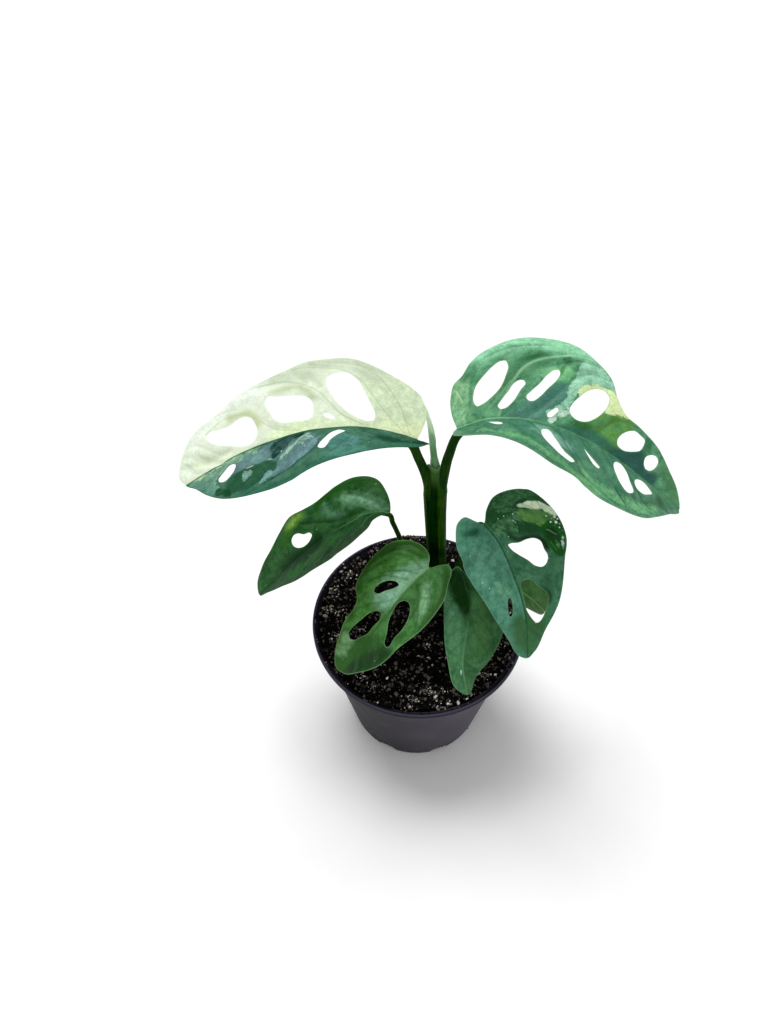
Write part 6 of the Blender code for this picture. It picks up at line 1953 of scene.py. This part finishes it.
def stem_paint():
    """Dark green skin: darkest in the groove as painted shade, a lighter ridge on the right, a pale rim
    on the sheath.
    """
    paint = Paint("stem_skin")
    place = paint.place()
    across, rim = paint.field("across"), paint.field("rim")
    fibre, cloud = paint.fibres(place, 1300.0, 50.0), paint.noise(place, 90.0)
    tone = paint.rise(paint.total((fibre, 0.5), (cloud, 0.5)), 0.42, 0.6)
    membrane = paint.times(paint.rise(rim, 0.2, 0.8), paint.rise(across, -0.7, -0.2))
    lip = paint.times(paint.rise(rim, 0.8, 0.98), paint.rise(cloud, 0.3, 0.6))
    ridge = paint.blend((32, 56, 8), (50, 78, 16), tone)
    colour = paint.layers(
        # Near-black green, left showing down the front where the groove runs: painted shade
        paint.blend((2, 36, 0), (9, 48, 2), tone),
        (ridge, paint.rise(across, 0.12, 0.34)),
        # A paler strip down the left edge: the sheath's margin, partly painted highlight
        ((52, 76, 24), paint.times(paint.fall(across, -0.88, -0.66), 0.8)),
        ((62, 92, 46), membrane),
        ((98, 128, 86), paint.times(lip, 0.7)),
    )
    paint.surface(colour, paint.spread(cloud, 0.4, 0.6), 0.02)
    paint.bump(fibre, 0.00015, 0.6)
    return paint.material


def stalk_paint(name, dark, light, fleck):
    """Fibrous green skin with upright streaks and small pale flecks."""
    paint = Paint(name)
    place = paint.place()
    fibre, cloud = paint.fibres(place, 1500.0, 60.0), paint.noise(place, 110.0)
    tone = paint.rise(paint.total((fibre, 0.55), (cloud, 0.45)), 0.4, 0.64)
    spots = paint.fall(paint.cells(place, 620.0), 0.05, 0.16)
    colour = paint.blend(paint.blend(dark, light, tone), fleck, paint.times(spots, 0.35))
    paint.surface(colour, paint.spread(cloud, 0.38, 0.58), 0.03)
    paint.bump(fibre, 0.00015, 0.6)
    return paint.material


def new_leaf_paint():
    """Green at the sheath, paler to the tip, with streaks and a painted highlight along its free edge.
    """
    paint = Paint("new_leaf_skin")
    share, turn = paint.field("share"), paint.field("turn")
    streak = paint.noise(paint.vector(paint.times(turn, 14.0), paint.times(share, 5.0)), 1.0)
    lip = paint.plus(paint.fall(turn, 0.02, 0.07), paint.rise(turn, 0.9, 0.99))
    colour = paint.layers(
        (66, 102, 62),
        ((92, 136, 88), paint.rise(share, 0.2, 0.34)),
        ((126, 172, 128), paint.rise(share, 0.4, 0.6)),
        # The palest green towards the tip: its own pale colour, raised further as painted highlight
        ((222, 246, 210), paint.rise(share, 0.58, 0.82)),
        ((92, 146, 100), paint.times(paint.rise(streak, 0.45, 0.65), 0.4)),
        # Painted highlight along the free edge of the roll
        ((214, 240, 214), paint.times(lip, 0.8)),
    )
    paint.surface(colour, paint.spread(paint.noise(paint.place(), 300.0), 0.3, 0.45), 0.5)
    paint.bump(streak, 0.00012, 0.5)
    return paint.material


def make_camera():
    yaw, down, roll = (math.radians(angle) for angle in (CAMERA_YAW, CAMERA_DOWN, CAMERA_ROLL))
    level = Vector((math.sin(yaw), math.cos(yaw), 0.0)) * math.cos(down)
    ahead = level - Vector((0.0, 0.0, math.sin(down)))
    right = Vector((math.cos(yaw), -math.sin(yaw), 0.0))
    up = right.cross(ahead)
    rolled = right * math.cos(roll) + up * math.sin(roll)
    above = up * math.cos(roll) - right * math.sin(roll)
    data = bpy.data.cameras.new("camera")
    data.lens = CAMERA_LENS
    data.sensor_width = CAMERA_SENSOR
    data.sensor_fit = "AUTO"
    data.clip_start = CAMERA_NEAR
    camera = link("camera", data)
    turn = Matrix((rolled, above, -ahead)).transposed()
    camera.matrix_world = Matrix.Translation(Vector(CAMERA_PLACE) * MM) @ turn.to_4x4()
    bpy.context.scene.camera = camera


def make_floor():
    paint = Paint("floor_paper")
    paint.surface(paint.blend(*FLOOR_TONES, paint.noise(paint.place(), 40.0)), 0.9, 0.1)
    size = FLOOR_SIZE
    mesh = bpy.data.meshes.new("floor")
    corners = [(-size, -size, 0.0), (size, -size, 0.0), (size, size, 0.0), (-size, size, 0.0)]
    mesh.from_pydata(corners, [], [(0, 1, 2, 3)])
    mesh.materials.append(paint.material)
    floor = link("floor", mesh)


def make_light():
    """An even white surround and one soft light from above."""
    world = bpy.data.worlds.new("surround")
    world.use_nodes = True
    background = world.node_tree.nodes["Background"]
    background.inputs["Color"].default_value = WHITE
    background.inputs["Strength"].default_value = WORLD_STRENGTH
    bpy.context.scene.world = world
    data = bpy.data.lights.new("key_light", "SUN")
    data.energy = KEY_STRENGTH
    data.angle = math.radians(KEY_SOFTNESS)
    light = link("key_light", data)
    light.rotation_euler = (-Vector(KEY_FROM)).to_track_quat("-Z", "Y").to_euler()
    bpy.context.scene.view_settings.view_transform = "Standard"


def make_plant():
    """Every piece of the plant, from the pot up."""
    make_pot(pot_paint())
    waves = soil_waves()
    make_soil(waves, soil_paint())
    make_crumbs(waves)
    blades = {name: make_leaf(name, 10.0 * k) for k, name in enumerate(LEAVES)}
    make_drops(blades, drop_paint())
    upper_skin = stalk_paint("upper_petiole_skin", (30, 56, 12), (46, 72, 22), (66, 94, 42))
    petiole_skin = stalk_paint("petiole_skin", (24, 58, 14), (52, 88, 32), (100, 130, 70))
    make_stem(stem_paint())
    for name, petiole in UPPER_PETIOLES.items():
        make_petiole(name, blades[petiole["leaf"]], petiole, "stem", upper_skin)
    for name, petiole in PETIOLES.items():
        make_petiole(name + "_stalk", blades[petiole["leaf"]], petiole, name, petiole_skin)
    make_new_leaf(new_leaf_paint())


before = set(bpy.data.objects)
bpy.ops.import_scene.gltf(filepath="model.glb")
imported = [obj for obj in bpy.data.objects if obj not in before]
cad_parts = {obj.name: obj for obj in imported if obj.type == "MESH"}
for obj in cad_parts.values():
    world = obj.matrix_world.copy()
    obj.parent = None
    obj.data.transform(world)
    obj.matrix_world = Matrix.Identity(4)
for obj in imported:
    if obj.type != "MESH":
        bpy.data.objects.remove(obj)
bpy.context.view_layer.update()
make_camera()
make_floor()
make_light()
make_plant()
